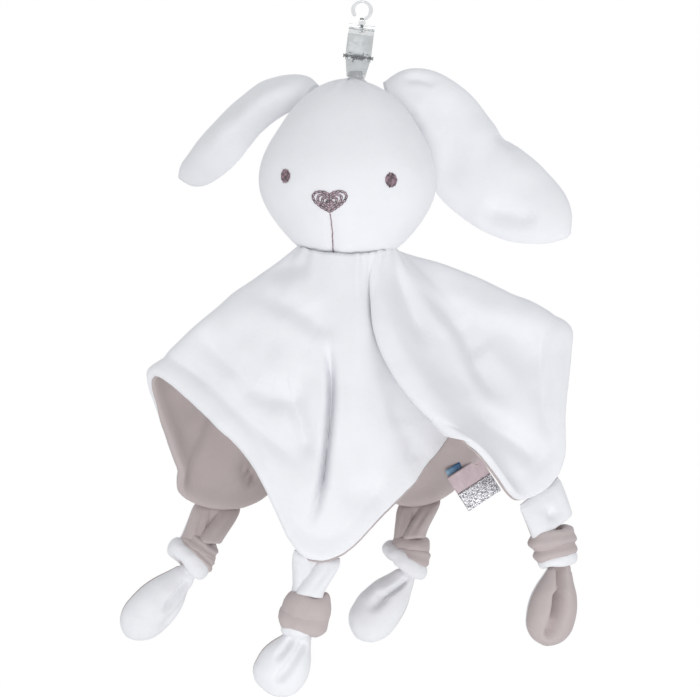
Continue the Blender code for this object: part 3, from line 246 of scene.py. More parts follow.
# how the hang is rounded: degrees between readings and the weight of each
ROUND_STEP_DEG = 3.6
ROUND_SHARES = (1 / 9, 2 / 9, 3 / 9, 2 / 9, 1 / 9)

# The legs: sizes, then for each its colours, its places on the frame and how it is folded
STRAP_LENGTH = 17.0 * MM
KNOT_WIDTH, KNOT_DEPTH, KNOT_HEIGHT = 26.0 * MM, 21.0 * MM, 19.0 * MM
FOOT_LENGTH, FOOT_WIDTH, FOOT_DEPTH = 40.0 * MM, 27.0 * MM, 20.0 * MM
ANKLE_RADIUS = 5.6 * MM
BALL_SHARE = 0.16
FOOT_COLUMNS = 80
KNOT_DROP = 0.4 * MM
FOOT_SHARES = (
    (0.0, 0.46), (0.12, 0.61), (0.28, 0.83), (0.45, 0.97), (0.62, 1.0), (0.78, 0.93),
    (0.90, 0.70), (0.97, 0.40), (1.0, 0.10),
)
LEGS = (
    {
        "name": "leg_1", "front": ("taupe", "taupe", "white"),
        "hinge": (-79.06, 56.97, -268.23), "across": (0.88332, 0.45747, -0.10228),
        "strap_way": (-0.446, 0.0, -0.895), "foot_way": (-0.69, 0.0, -0.724),
        "foot_share": 1.18,
        # lobes: across at the hem and at the knot, half width at each, forward
        "lobes": (
            (0.0, -2.0, 8.6, 6.4, 2.6), (-8.0, -6.8, 6.0, 5.8, 0.6), (7.8, 1.8, 6.4, 7.6, -3.6)
        ),
        # wraps: colour, drop, half height, reach share, slope, phase, pleats, shift across
        "wraps": (
            ("taupe", 5.2, 5.2, 0.88, 1.0, 0, 2, 0), ("taupe", 9.8, 4.6, 0.95, 3.4, 20, 2, 0),
            ("white", 13.6, 5.2, 1.06, 3.6, 8, 0, -2.6),
        ),
        # creases: across at the ankle and at the end, from, to, depth, width
        "creases": ((0.5, -1.0, 0.04, 0.50, 5.2, 2.1), (7.5, 6.0, 0.10, 0.70, 2.4, 2.8)),
        # the dimple of the strap: across, share down, depth, width
        "seam_deg": -16, "dimple": (0, 0.5, 0, 3),
    },
    {
        "name": "leg_2", "front": ("white", "taupe", "white"),
        "hinge": (-22.69, -43.88, -284.41), "across": (0.97520, 0.11936, -0.18640),
        "strap_way": (-0.208, 0.0, -0.978), "foot_way": (-0.50, 0.0, -0.866),
        "foot_share": 0.82,
        "lobes": (
            (0.0, -1.0, 7.6, 5.6, 2.8), (-6.6, -3.6, 5.6, 5.4, 1.0), (6.8, -0.4, 5.4, 6.8, -3.4)
        ),
        "wraps": (
            ("taupe", 8.6, 8.6, 0.94, -0.8, 20, 0, 0), ("taupe", 11.8, 6.8, 0.98, -1.8, 75, 1, 0),
            ("white", 17.0, 3.8, 0.80, -2.6, 0, 0, 0),
        ),
        "creases": ((-4.5, -6.0, 0.10, 0.50, 4.0, 1.7), (2.0, -0.5, 0.04, 0.80, 5.0, 2.2)),
        "seam_deg": 0, "dimple": (0, 0.5, 0, 3),
    },
    {
        "name": "leg_3", "front": ("taupe", "taupe", "white"),
        "hinge": (31.68, 74.60, -267.83), "across": (0.96203, -0.23578, 0.13750),
        "strap_way": (-0.178, 0.0, -0.984), "foot_way": (-0.62, 0.0, -0.785),
        "foot_share": 1.1,
        "lobes": (
            (0.0, -1.0, 8.0, 6.0, 2.6), (-7.0, -5.4, 5.4, 5.6, 0.2), (7.0, 1.6, 5.6, 6.8, -3.2)
        ),
        "wraps": (
            ("taupe", 4.8, 5.0, 0.84, -0.6, 0, 0, 0), ("taupe", 9.6, 5.0, 0.93, 1.0, 0, 1, 0),
            ("white", 13.4, 5.0, 1.06, 4.6, 10, 0, -1.8),
        ),
        "creases": ((3.0, -0.4, 0.04, 0.50, 5.0, 1.5), (-0.6, -1.2, 0.36, 0.66, 4.0, 3.0)),
        "seam_deg": 10, "dimple": (0, 0.5, 0, 3),
    },
    {
        "name": "leg_4", "front": ("white", "taupe", "taupe"),
        "hinge": (92.54, -9.72, -255.32), "across": (0.76498, 0.41461, 0.49285),
        "strap_way": (0.238, 0.0, -0.971), "foot_way": (-0.193, 0.0, -0.981),
        "foot_share": 1.0,
        "lobes": ((-2.4, -1.6, 11.6, 10.6, -0.6), (6.6, 6.4, 8.0, 8.4, -0.6)),
        "wraps": (
            ("taupe", 5.6, 4.9, 1.0, 0.4, 0, 1, 0), ("taupe", 11.8, 4.6, 0.92, -0.6, 0, 1, 0),
            ("white", 16.6, 3.2, 0.84, 0.6, 0, 0, 0),
        ),
        "creases": ((-2.6, -3.6, 0.0, 0.66, 7.4, 2.0), (-3.4, -3.8, 0.30, 0.94, 7.6, 3.2)),
        "seam_deg": -24, "dimple": (1.5, 0.62, 4.2, 2.6),
    },
)

# The tags, in a frame at the hem that leans with them
TAG_PLACE = Vector((54.50, 60.20, -242.50)) * MM
TAG_TILT_DEG = 33
TAG_WIDTH, TAG_LENGTH, TAG_LOOP = 21.4 * MM, 21.5 * MM, 0.9 * MM
RIBBON_DROP = 3.0 * MM
BAND_GAP = 0.45 * MM
LABEL_WIDTH, LABEL_LENGTH, LABEL_SIDE = 13.0 * MM, 15.0 * MM, 3.0 * MM

# The hook
HOOK_RADIUS = 4.65 * MM
HOOK_WIRE = 2.1 * MM
HOOK_CENTRE = Vector((0, 0, -3.6)) * MM
COLLAR_UP, COLLAR_RADIUS = -10.25 * MM, 1.9 * MM
SHANK_RADIUS = 0.9 * MM
SHANK_TOP, SHANK_HEAD_TOP, SHANK_END = -8.0 * MM, -14.3 * MM, -15.2 * MM
CAP_STEPS = 6

# The stage, in metres
TOY_MIDDLE = (0, 0, -0.18)
CAMERA_PLACE = (-0.00624, -1.011, -0.1804)
FLOOR_HALF = 6
SKY_COLOUR = (0.96, 0.98, 1.0, 1)
FLOOR_COLOUR = (0.82, 0.82, 0.82, 1)


def display(red, green, blue):
    """A colour as a screen shows it, from 0 to 255, in the linear values that shaders read."""
    values = np.array((red, green, blue)) / 255
    bent = np.where(values > 0.04045, ((values + 0.055) / 1.055) ** 2.4, values / 12.92)
    return tuple(float(value) for value in bent)


class ClothSettings(bpy.types.PropertyGroup):
    white: FloatVectorProperty(
        name="White cloth", description="Colour of the white pile cloth", subtype="COLOR",
        default=display(240, 240, 243), min=0, max=1,
    )
    taupe: FloatVectorProperty(
        name="Taupe cloth", description="Colour of the lining", subtype="COLOR",
        default=display(196, 184, 183), min=0, max=1,
    )
    nap_depth: FloatProperty(
        name="Nap depth", description="Height of the pile's grain", default=0.35 * MM,
        subtype="DISTANCE", min=0,
    )
    hem_radius: FloatProperty(
        name="Hem radius", description="Radius of the rolled hem", default=1.7 * MM,
        subtype="DISTANCE", min=0.8 * MM,
    )
    lining_edge: FloatProperty(
        name="Lining edge", description="How far the lining comes round the hem, from its outside",
        default=math.radians(70), subtype="ANGLE", min=math.radians(30), max=math.radians(160),
    )
    crumple: FloatProperty(
        name="Crumple", description="Height of the cloth's small waves", default=0.9 * MM,
        subtype="DISTANCE", min=0,
    )
    columns: IntProperty(
        name="Cloth columns", description="Edges of the blanket round its hem", default=480,
        min=80, max=500,
    )


class StitchSettings(bpy.types.PropertyGroup):
    thread: FloatVectorProperty(
        name="Thread", description="Colour of the face's thread", subtype="COLOR",
        default=display(126, 104, 112), min=0, max=1,
    )
    thickness: FloatProperty(
        name="Thread thickness", description="Diameter of one strand", default=0.5 * MM,
        subtype="DISTANCE", min=0.1 * MM,
    )
    chain_length: FloatProperty(
        name="Chain stitch", description="Length of one chain stitch of the nose",
        default=2.0 * MM, subtype="DISTANCE", min=0.5 * MM,
    )


class StageSettings(bpy.types.PropertyGroup):
    floor_drop: FloatProperty(
        name="Floor", description="How far the floor lies below the hook", default=1.4,
        subtype="DISTANCE", min=0.4,
    )
    key_power: FloatProperty(
        name="Key light", description="Power of the large front lamp", default=12.5,
        subtype="POWER", min=0,
    )
    fill_power: FloatProperty(
        name="Fill light", description="Power of the side lamp", default=1.5,
        subtype="POWER", min=0,
    )
    sky: FloatProperty(
        name="Sky", description="Strength of the light from all around", default=0.76, min=0,
    )


# Shapes

def bell(off, width):
    """1 in the middle and nothing a few widths off."""
    return np.exp(-((off / width) ** 2))


def turned_from(angle, middle):
    """How far one angle lies from another, from -180 to 180 degrees."""
    return (angle - middle + 180) % 360 - 180


def unit(vectors):
    """The vectors of an array's last axis, each one long."""
    return vectors / np.maximum(np.linalg.norm(vectors, axis=-1, keepdims=True), TINY)


def ring_and_rows(columns, rows):
    """Angles round a form and shares along it, for a grid of columns and rows."""
    return np.linspace(0, math.tau, columns + 1)[:, None], np.linspace(0, 1, rows + 1)[None, :]


def hermite(blend, start, end, start_slope, end_slope):
    square, cube = blend**2, blend**3
    return (
        (2 * cube - 3 * square + 1) * start + (cube - 2 * square + blend) * start_slope
        + (3 * square - 2 * cube) * end + (cube - square) * end_slope
    )


def read_table(rows, at):
    """Smooth readings of a table whose first column rises; one value for each further column."""
    rows = np.array(rows, dtype=float)
    knots, values = rows[:, 0], rows[:, 1:]
    order = np.arange(len(knots))
    after, before = np.minimum(order + 1, len(knots) - 1), np.maximum(order - 1, 0)
    slopes = (values[after] - values[before]) / (knots[after] - knots[before])[:, None]
    at = np.asarray(at, dtype=float)
    index = np.clip(np.searchsorted(knots, at) - 1, 0, len(knots) - 2)
    width = (knots[index + 1] - knots[index])[..., None]
    blend = np.clip((at[..., None] - knots[index][..., None]) / width, 0, 1)
    return hermite(
        blend, values[index], values[index + 1], slopes[index] * width, slopes[index + 1] * width
    )


def step_in(value, low, high):
    """0 below low, 1 above high and an easy slope between."""
    share = np.clip((value - low) / (high - low), 0, 1)
    return share * share * (3 - 2 * share)


def surface_normals(places):
    """The normals of a grid of places whose first and last columns meet."""
    ring = places[:-1]
    around = np.roll(ring, -1, axis=0) - np.roll(ring, 1, axis=0)
    around = np.concatenate((around, around[:1]))
    return unit(np.cross(around, np.gradient(places, axis=1)))


def turned_along(normals, outward):
    """Normals that point the same way as some others on the whole."""
    return normals * np.sign((normals * outward).sum())


def soft_noise(places, size, seed):
    """Smooth noise from -1 to 1 at each place of an array."""
    flat = places.reshape(-1, 3) / size + seed
    values = [noise.noise(Vector(place)) for place in flat]
    return np.array(values).reshape(places.shape[:-1])


def grid_of(places, paint=None):
    """A bmesh grid with its points at places[column, row]; paint() gives a face's material."""
    columns, rows = places.shape[0] - 1, places.shape[1] - 1
    work = bmesh.new()
    bmesh.ops.create_grid(work, x_segments=columns, y_segments=rows, size=1)
    if paint is not None:
        for face in work.faces:
            middle = face.calc_center_median()
            face.material_index = paint(int((middle.x + 1) / 2 * columns))
    for point in work.verts:
        column = round((point.co.x + 1) / 2 * columns)
        point.co = places[column, round((point.co.y + 1) / 2 * rows)]
    return work


def weld(work):
    bmesh.ops.remove_doubles(work, verts=work.verts, dist=WELD)


def closed_loft(places, paint=None):
    """A closed form of the rings places[:, row], whose first and last column meet."""
    work = grid_of(places, paint)
    weld(work)
    bmesh.ops.holes_fill(work, edges=work.edges, sides=0)
    bmesh.ops.recalc_face_normals(work, faces=work.faces)
    return work


def merge(work, made):
    """Adds one bmesh to another and frees it."""
    mesh = bpy.data.meshes.new("merged")
    made.to_mesh(mesh)
    made.free()
    work.from_mesh(mesh)
    bpy.data.meshes.remove(mesh)


def tube(work, path, radius, sides=6):
    """Adds a round thread along a path, with pointed ends."""
    path = np.array([tuple(point) for point in path])
    ahead = unit(np.gradient(path, axis=0))
    side = unit(np.cross(ahead, THREAD_UP))
    share = np.linspace(0, 1, len(path))
    wide = radius * np.minimum(1, POINT_SHARE + POINT_SLOPE * np.minimum(share, 1 - share))
    turns = np.linspace(0, math.tau, sides + 1)[:, None, None]
    rings = path + (np.cos(turns) * side + np.sin(turns) * np.cross(ahead, side)) * wide[:, None]
    merge(work, closed_loft(rings))


def add_piece(name, work, finishes, body, slot, replaced=()):
    """An object from a bmesh, with its finishes, that rides on a body of the frame."""
    mesh = bpy.data.meshes.new(name)
    work.to_mesh(mesh)
    work.free()
    mesh.shade_smooth()
    for finish in finishes:
        mesh.materials.append(finish)
    piece = bpy.data.objects.new(name, mesh)
    bpy.context.scene.collection.objects.link(piece)
    if body:
        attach(piece, body)
    if replaced:
        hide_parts(*replaced)
    return piece


def thicken(piece, thickness):
    wall = piece.modifiers.new("cloth", "SOLIDIFY")
    wall.thickness = thickness
    wall.offset = 0.0
    wall.use_even_offset = False


def placed(places, matrix):
    """An array of places in a piece's own frame, moved to where the frame stands."""
    turn = np.array(matrix.to_3x3())
    return places @ turn.T + np.array(matrix.translation)


def frame_from(origin, across, up):
    """A frame that keeps the direction up and leans across to fit it."""
    z_axis = Vector(up).normalized()
    y_axis = z_axis.cross(Vector(across)).normalized()
    turn = Matrix((y_axis.cross(z_axis), y_axis, z_axis)).transposed().to_4x4()
    return Matrix.Translation(origin) @ turn


def frame_on(origin, across, up):
    """A frame that keeps the direction across and leans up to fit it."""
    x_axis = Vector(across).normalized()
    y_axis = Vector(up).cross(x_axis).normalized()
    turn = Matrix((x_axis, y_axis, x_axis.cross(y_axis))).transposed().to_4x4()
    return Matrix.Translation(origin) @ turn


# Finishes

def give(tree, node, inputs):
    """Sets a node's inputs, each to a value or to the socket that feeds it."""
    for name, value in inputs.items():
        if isinstance(value, bpy.types.NodeSocket):
            tree.links.new(value, node.inputs[name])
        else:
            node.inputs[name].default_value = value


def add_node(tree, kind, inputs, **settings):
    node = tree.nodes.new(kind)
    for name, value in settings.items():
        setattr(node, name, value)
    give(tree, node, inputs)
    return node


def laid(tree, kind, inputs, uv=False, **settings):
    """The outputs of a node that reads places on the object, or on its UV map."""
    if uv:
        place = add_node(tree, "ShaderNodeUVMap", {}, uv_map=UV_NAME).outputs["UV"]
    else:
        place = add_node(tree, "ShaderNodeTexCoord", {}).outputs["Object"]
    return add_node(tree, kind, {"Vector": place, **inputs}, **settings).outputs


def ranged(tree, value, limits):
    """A value moved from one range to another."""
    return add_node(tree, "ShaderNodeMapRange", {"Value": value, **limits}).outputs["Result"]


def mixed(tree, share, first, second):
    """A colour between two others."""
    inputs = {"Factor": share, "A": (*first, 1), "B": (*second, 1)}
    return add_node(tree, "ShaderNodeMix", inputs, data_type="RGBA").outputs["Result"]


def ramp(tree, value, stops):
    """A colour read from stops, each a position and a colour as displayed."""
    node = add_node(tree, "ShaderNodeValToRGB", {"Fac": value})
    elements = node.color_ramp.elements
    for position, _ in stops[1:-1]:
        elements.new(position)
    for element, (position, colour) in zip(elements, stops):
        element.position = position
        element.color = (*display(*colour), 1)
    return node.outputs["Color"]


def relief(tree, height, distance, strength=1.0):
    """A normal bent by a height."""
    inputs = {"Height": height, "Distance": distance, "Strength": strength}
    return add_node(tree, "ShaderNodeBump", inputs).outputs["Normal"]


def finish(fill):
    """Turns a function that fills a shader into one that makes its material once."""
    def made_once():
        made = bpy.data.materials.get(fill.__name__)
        if made is None:
            made = bpy.data.materials.new(fill.__name__)
            made.use_nodes = True
            fill(made.node_tree, made.node_tree.nodes["Principled BSDF"])
        return made

    return made_once


def nap_group():
    """Pile cloth: its grain's height and its colour, brushed lighter and darker."""
    group = bpy.data.node_groups.get("cloth_nap")
    if group is not None:
        return group
    group = bpy.data.node_groups.new("cloth_nap", "ShaderNodeTree")
    for name, way, kind in (
        ("Cloth", "INPUT", "NodeSocketColor"), ("Shade", "INPUT", "NodeSocketColor"),
        ("Grain", "INPUT", "NodeSocketFloat"), ("Color", "OUTPUT", "NodeSocketColor"),
        ("Height", "OUTPUT", "NodeSocketFloat"),
    ):
        group.interface.new_socket(name, in_out=way, socket_type=kind)
    given = group.nodes.new("NodeGroupInput").outputs
    put = group.nodes.new("NodeGroupOutput")
    pile = laid(
        group, "ShaderNodeTexNoise", {"Scale": given["Grain"], "Detail": 5, "Roughness": 0.65}
    )["Fac"]
    brushed = laid(group, "ShaderNodeTexNoise", {"Scale": 55, "Detail": 3})["Fac"]
    patches = ranged(group, brushed, {"From Min": 0.35, "From Max": 0.75})
    tips = add_node(group, "ShaderNodeMath", {0: patches, 1: pile}, operation="MULTIPLY")
    shares = {"Factor": tips.outputs["Value"], "A": given["Cloth"], "B": given["Shade"]}
    colour = add_node(group, "ShaderNodeMix", shares, data_type="RGBA")
    shares = {0: pile, 1: 0.6, 2: brushed}
    height = add_node(group, "ShaderNodeMath", shares, operation="MULTIPLY_ADD")
    give(group, put, {"Color": colour.outputs["Result"], "Height": height.outputs["Value"]})
    return group


def pile_cloth(tree, shader, colour, shade):
    """Short soft pile: matt, with a pale sheen at its edges."""
    depth = bpy.context.scene.rabbit_cloth.nap_depth
    shown, shaded = (*colour, 1), (*(shade * part for part in colour), 1)
    given = {"Cloth": shown, "Shade": shaded, "Grain": 700}
    nap = add_node(tree, "ShaderNodeGroup", given, node_tree=nap_group()).outputs
    give(tree, shader, {
        "Roughness": 0.92, "Specular IOR Level": 0.2, "Sheen Weight": 0.1,
        "Sheen Roughness": 0.45, "Base Color": nap["Color"],
        "Normal": relief(tree, nap["Height"], depth, 0.5),
    })


@finish
def white_pile(tree, shader):
    pile_cloth(tree, shader, tuple(bpy.context.scene.rabbit_cloth.white), 0.93)


@finish
def taupe_pile(tree, shader):
    pile_cloth(tree, shader, tuple(bpy.context.scene.rabbit_cloth.taupe), 0.86)


def cloth_finish(colour):
    return white_pile() if colour == "white" else taupe_pile()


@finish
def face_thread(tree, shader):
    """Twisted cotton thread with lighter fibres."""
    colour = tuple(bpy.context.scene.rabbit_stitches.thread)
    dark, light = ([min(1, share * part) for part in colour] for share in (0.42, 2.0))
    fibres = laid(tree, "ShaderNodeTexNoise", {"Scale": 620, "Detail": 4})["Fac"]
    dye = ranged(tree, fibres, {"From Min": 0.36, "From Max": 0.66})
    give(tree, shader, {
        "Roughness": 0.55, "Sheen Weight": 0.2, "Base Color": mixed(tree, dye, dark, light),
        "Normal": relief(tree, fibres, 0.1 * MM),
    })


@finish
def clear_plastic(tree, shader):
    """Clear plastic, a little grey, with faint moulding waves."""
    waves = laid(tree, "ShaderNodeTexNoise", {"Scale": 260})["Fac"]
    give(tree, shader, {
        "Transmission Weight": 1.0, "IOR": 1.49,
        "Base Color": mixed(tree, waves, display(206, 208, 209), display(232, 234, 235)),
        "Roughness": ranged(tree, waves, {"To Min": 0.05, "To Max": 0.16}),
        "Normal": relief(tree, waves, 0.15 * MM, 0.4),
    })


@finish
def spring_steel(tree, shader):
    """Steel whose roughness and colour change over its surface."""
    marks = laid(tree, "ShaderNodeTexNoise", {"Scale": 500})["Fac"]
    bright = display(150, 150, 152)
    dull = [0.7 * part for part in bright]
    give(tree, shader, {
        "Metallic": 1.0, "Base Color": mixed(tree, marks, dull, bright),
        "Roughness": ranged(tree, marks, {"To Min": 0.25, "To Max": 0.45}),
        "Normal": relief(tree, marks, 0.02 * MM),
    })


@finish
def pink_satin(tree, shader):
    """Pink satin ribbon: fine ribs across, bright along its folds."""
    ribs = laid(
        tree, "ShaderNodeTexWave", {"Scale": 28, "Distortion": 0.6}, uv=True, bands_direction="Y"
    )["Fac"]
    blotch = laid(tree, "ShaderNodeTexNoise", {"Scale": 5}, uv=True)["Fac"]
    give(tree, shader, {
        "Sheen Weight": 0.3, "Specular IOR Level": 0.8,
        "Base Color": mixed(tree, blotch, display(186, 160, 168), display(236, 221, 224)),
        "Roughness": ranged(tree, ribs, {"To Min": 0.24, "To Max": 0.42}),
        "Normal": relief(tree, ribs, 0.06 * MM),
    })


@finish
def silver_glitter(tree, shader):
    """Silver glitter: small flakes that each shine their own way."""
    flakes = laid(tree, "ShaderNodeTexVoronoi", {"Scale": 2300})["Color"]
    split = add_node(tree, "ShaderNodeSeparateColor", {"Color": flakes}).outputs
    give(tree, shader, {
        "Metallic": 0.75,
        "Base Color": ramp(tree, split["Red"], ((0.25, (128, 127, 132)), (0.75, (224, 224, 228)))),
        "Roughness": ranged(tree, split["Green"], {"To Min": 0.15, "To Max": 0.5}),
        "Normal": relief(tree, split["Blue"], 0.3 * MM),
    })


@finish
def blue_label(tree, shader):
    """Smooth blue label, navy at one end and pale at the other."""
    across = laid(tree, "ShaderNodeSeparateXYZ", {}, uv=True)["X"]
    weave = laid(tree, "ShaderNodeTexNoise", {"Scale": 30}, uv=True)["Fac"]
    stops = ((0, (150, 190, 216)), (0.45, (72, 116, 158)), (1, (30, 52, 84)))
    give(tree, shader, {
        "Roughness": 0.25, "Base Color": ramp(tree, across, stops),
        "Normal": relief(tree, weave, 0.05 * MM),
    })


# The head

def head_radius(share):
    return read_table(HEAD_SHARES, share)[..., 0] * HEAD_WIDTH / 2


def head_puff(across, drop, back_side, angle):
    """How far the cloth stands out from the plain head: seams, dimples and gathers."""
    share = drop / HEAD_HEIGHT
    out = np.zeros_like(across)
    front = np.where(back_side, 0.0, 1.0)
    for _, eye_across, eye_drop, _ in EYES:
        near = bell(across - eye_across, EYE_HOLLOW_REACH) * bell(drop - eye_drop, EYE_HOLLOW_REACH)
        out -= EYE_HOLLOW * near * front
    top, bottom = MOUTH_DROPS
    line = NOSE_ACROSS + MOUTH_DRIFT * np.clip((drop - top) / (bottom - top), 0, 1)
    held = step_in(drop, top - 5 * MM, top) * (1 - step_in(drop, bottom, bottom + 6 * MM))
    out -= MOUTH_HOLLOW * bell(across - line, MOUTH_HOLLOW_REACH) * held * front
    near = bell(across - NOSE_ACROSS, MUZZLE_WIDTH) * bell(drop - NOSE_DROP, MUZZLE_HEIGHT)
    out += MUZZLE_RISE * near * front
    side = np.degrees(angle)
    for rise, middle, spread, down, reach in HEAD_SWELLS:
        out += rise * bell(side % 360 - middle, spread) * bell(share - down, reach)
    fade = step_in(share, 0.08, 0.2)
    radius = head_radius(share)
    for seam in HEAD_SEAMS_DEG:
        off = np.radians(turned_from(side, seam)) * radius
        out += (0.5 * MM * bell(off, 5 * MM) - 0.9 * MM * bell(off, 1.1 * MM)) * fade
    gathers = np.cos(13 * angle) + 0.6 * np.cos(7 * angle + 1)
    out += 0.45 * MM * gathers * bell(share - 0.03, 0.05)
    return out


def head_wobble(places):
    return 0.5 * MM * soft_noise(places, 26 * MM, 3.7)


def head_places(columns, rows):
    angle, along = ring_and_rows(columns, rows)
    share = HEAD_SHARES[-1][0] * along**1.3
    radius = head_radius(share)
    drop = share * HEAD_HEIGHT + 0 * angle
    across = radius * np.cos(angle)
    back = radius * np.sin(angle) * FLAT_SHARE
    places = np.array(CROWN) + np.stack((across, back, -drop), axis=2)
    inside = np.array(CROWN) - (0, 0, HEAD_HEIGHT / 2)
    normals = turned_along(surface_normals(places), places - inside)
    out = head_puff(across, drop, back > 0, angle + 0 * drop) + head_wobble(places)
    return places + normals * out[..., None]


def face_point(across, drop, lift):
    """A point of the face, this far across and below the crown, lifted off the cloth."""
    share = drop / HEAD_HEIGHT
    step = 1e-4
    radius, wider = (float(head_radius(at)) for at in (share, share + step))
    back = math.sqrt(max(radius**2 - across**2, 0))
    slope = (wider - radius) / (step * HEAD_HEIGHT)
    normal = Vector((across, -back / FLAT_SHARE, radius * slope)).normalized()
    place = CROWN + Vector((across, -back * FLAT_SHARE, -drop))
    angle = math.atan2(-back, across)
    values = (np.array([value]) for value in (across, drop, False, angle))
    out = float(head_puff(*values)[0] + head_wobble(np.array([tuple(place)]))[0])
    return place + normal * (out + lift)


def sew_head():
    head = add_piece(
        "stuffed_head", closed_loft(head_places(150, 120)), [cloth_finish("white")], "head",
        "white", ("head_cover", "head_stuffing"),
    )


def sew_stitches(name, work, node):
    add_piece(name, work, [face_thread()], "head", "thread", (node,))


def heart(angle):
    """A soft heart with its point down, in shares of its half width and half height."""
    turn = angle - math.pi / 2
    high = sum(share * math.cos((index + 1) * turn) for index, share in enumerate(HEART_SHARES))
    return -math.sin(turn) ** 3, high


def sew_eyes():
    """Two layers of satin stitch for each eye."""
    radius = bpy.context.scene.rabbit_stitches.thickness / 2
    for name, across, drop, width in EYES:
        work = bmesh.new()
        count = max(int(width / (radius * 1.5)), 5)
        for layer, lift in enumerate((0.0, radius)):
            for index in range(count):
                share = (index + 0.5 + 0.3 * layer) / count * 2 - 1
                if abs(share) > 1:
                    continue
                half = EYE_HEIGHT / 2 * math.sqrt(1 - share**2)
                half *= 1 + 0.3 * noise.noise(Vector((index * 1.7, layer, across * 90)))
                lean = 0.5 * MM * noise.noise(Vector((index, 5 + layer, 0)))
                path = []
                for along in np.linspace(-1, 1, 9):
                    arch = (1 - along**2) * 0.9 * radius + lift - 0.3 * radius
                    path.append(face_point(
                        across + share * width / 2 + lean * along, drop + half * along, arch
                    ))
                tube(work, path, radius)
        sew_stitches(f"{name}_stitches", work, name)


def heart_outline(scale, step):
    """Places along a scaled heart, evenly apart, as (across, drop)."""
    fine = []
    for count in range(241):
        wide, high = heart(math.tau * count / 240 + math.pi / 2)
        fine.append((wide * NOSE_WIDTH / 2 * scale, -high * NOSE_HEIGHT / 2 * scale))
    fine = np.array(fine)
    fine[:, 1] += NOSE_HEIGHT * 0.10 * (1 - scale)
    length = np.concatenate(([0], np.cumsum(np.linalg.norm(np.diff(fine, axis=0), axis=1))))
    count = max(int(length[-1] / step), 4)
    at = np.linspace(0, length[-1], count + 1)
    return np.stack([np.interp(at, length, fine[:, axis]) for axis in (0, 1)], axis=1)


def sew_nose():
    """Hearts of chain stitch, one inside the other."""
    stitches = bpy.context.scene.rabbit_stitches
    radius = stitches.thickness / 2
    work = bmesh.new()
    for scale in NOSE_HEART_SHARES:
        places = heart_outline(scale, stitches.chain_length)
        for here, there in zip(places, places[1:]):
            length = np.linalg.norm(there - here)
            if length < stitches.chain_length / 4:
                continue
            ahead = (there - here) / length
            side = np.array((-ahead[1], ahead[0]))
            path = []
            for step in range(11):
                turn = math.tau * step / 10
                along = 0.5 - 0.62 * math.cos(turn)
                wide = CHAIN_HALF_WIDTH * math.sin(turn) * (0.55 + 0.45 * along)
                across, drop = here + ahead * along * length + side * wide
                lift = radius * (0.7 + 0.5 * along)
                path.append(face_point(NOSE_ACROSS + across, NOSE_DROP + drop, lift))
            tube(work, path, radius * 1.1, 5)
    sew_stitches("nose_stitches", work, "nose")


def sew_mouth():
    """A line of back stitches from the nose down under the chin."""
    radius = bpy.context.scene.rabbit_stitches.thickness / 2
    top, bottom = MOUTH_DROPS
    work = bmesh.new()
    for index in range(MOUTH_STITCHES):
        wobble = 0.25 * MM * noise.noise(Vector((index * 0.9, 2.0, 0)))
        path = []
        for step in range(8):
            share = min(max((index + 1.12 * step / 7 - 0.06) / MOUTH_STITCHES, 0), 1)
            arch = math.sin(math.pi * step / 7) * radius - 0.2 * radius
            path.append(face_point(
                NOSE_ACROSS + MOUTH_DRIFT * share + wobble, top + (bottom - top) * share, arch
            ))
        tube(work, path, radius * 1.3)
    sew_stitches("mouth_stitches", work, "mouth_stitch")


def sew_tuft():
    """The pinch of cloth in the clip's jaws, pleated."""
    low, high = (Vector(corner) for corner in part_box("crown_tuft"))
    angle, along = ring_and_rows(72, 14)
    pleat = 1 + 0.10 * np.cos(9 * angle + 2 * along) * (1 - 0.4 * along)
    spread = 1 - 0.26 * along + 0.55 * np.clip(0.28 - along, 0, 1) ** 1.2 * 3
    half = (high.x - low.x) / 2
    across = (low.x + high.x) / 2 + half * spread * np.cos(angle) * pleat
    thick = (high.y - low.y) / 2 * (0.94 - 0.1 * along + 1.8 * np.clip(0.3 - along, 0, 1))
    back = thick * np.sin(angle) * pleat
    up = low.z - 1.2 * MM + (high.z - low.z + 1.0 * MM) * along + 0 * angle
    up += 0.25 * MM * np.cos(5 * angle) * along
    add_piece(
        "pinched_tuft", closed_loft(np.stack((across, back, up), axis=2)),
        [cloth_finish("white")], "head", "white", ("crown_tuft",),
    )


# The ears

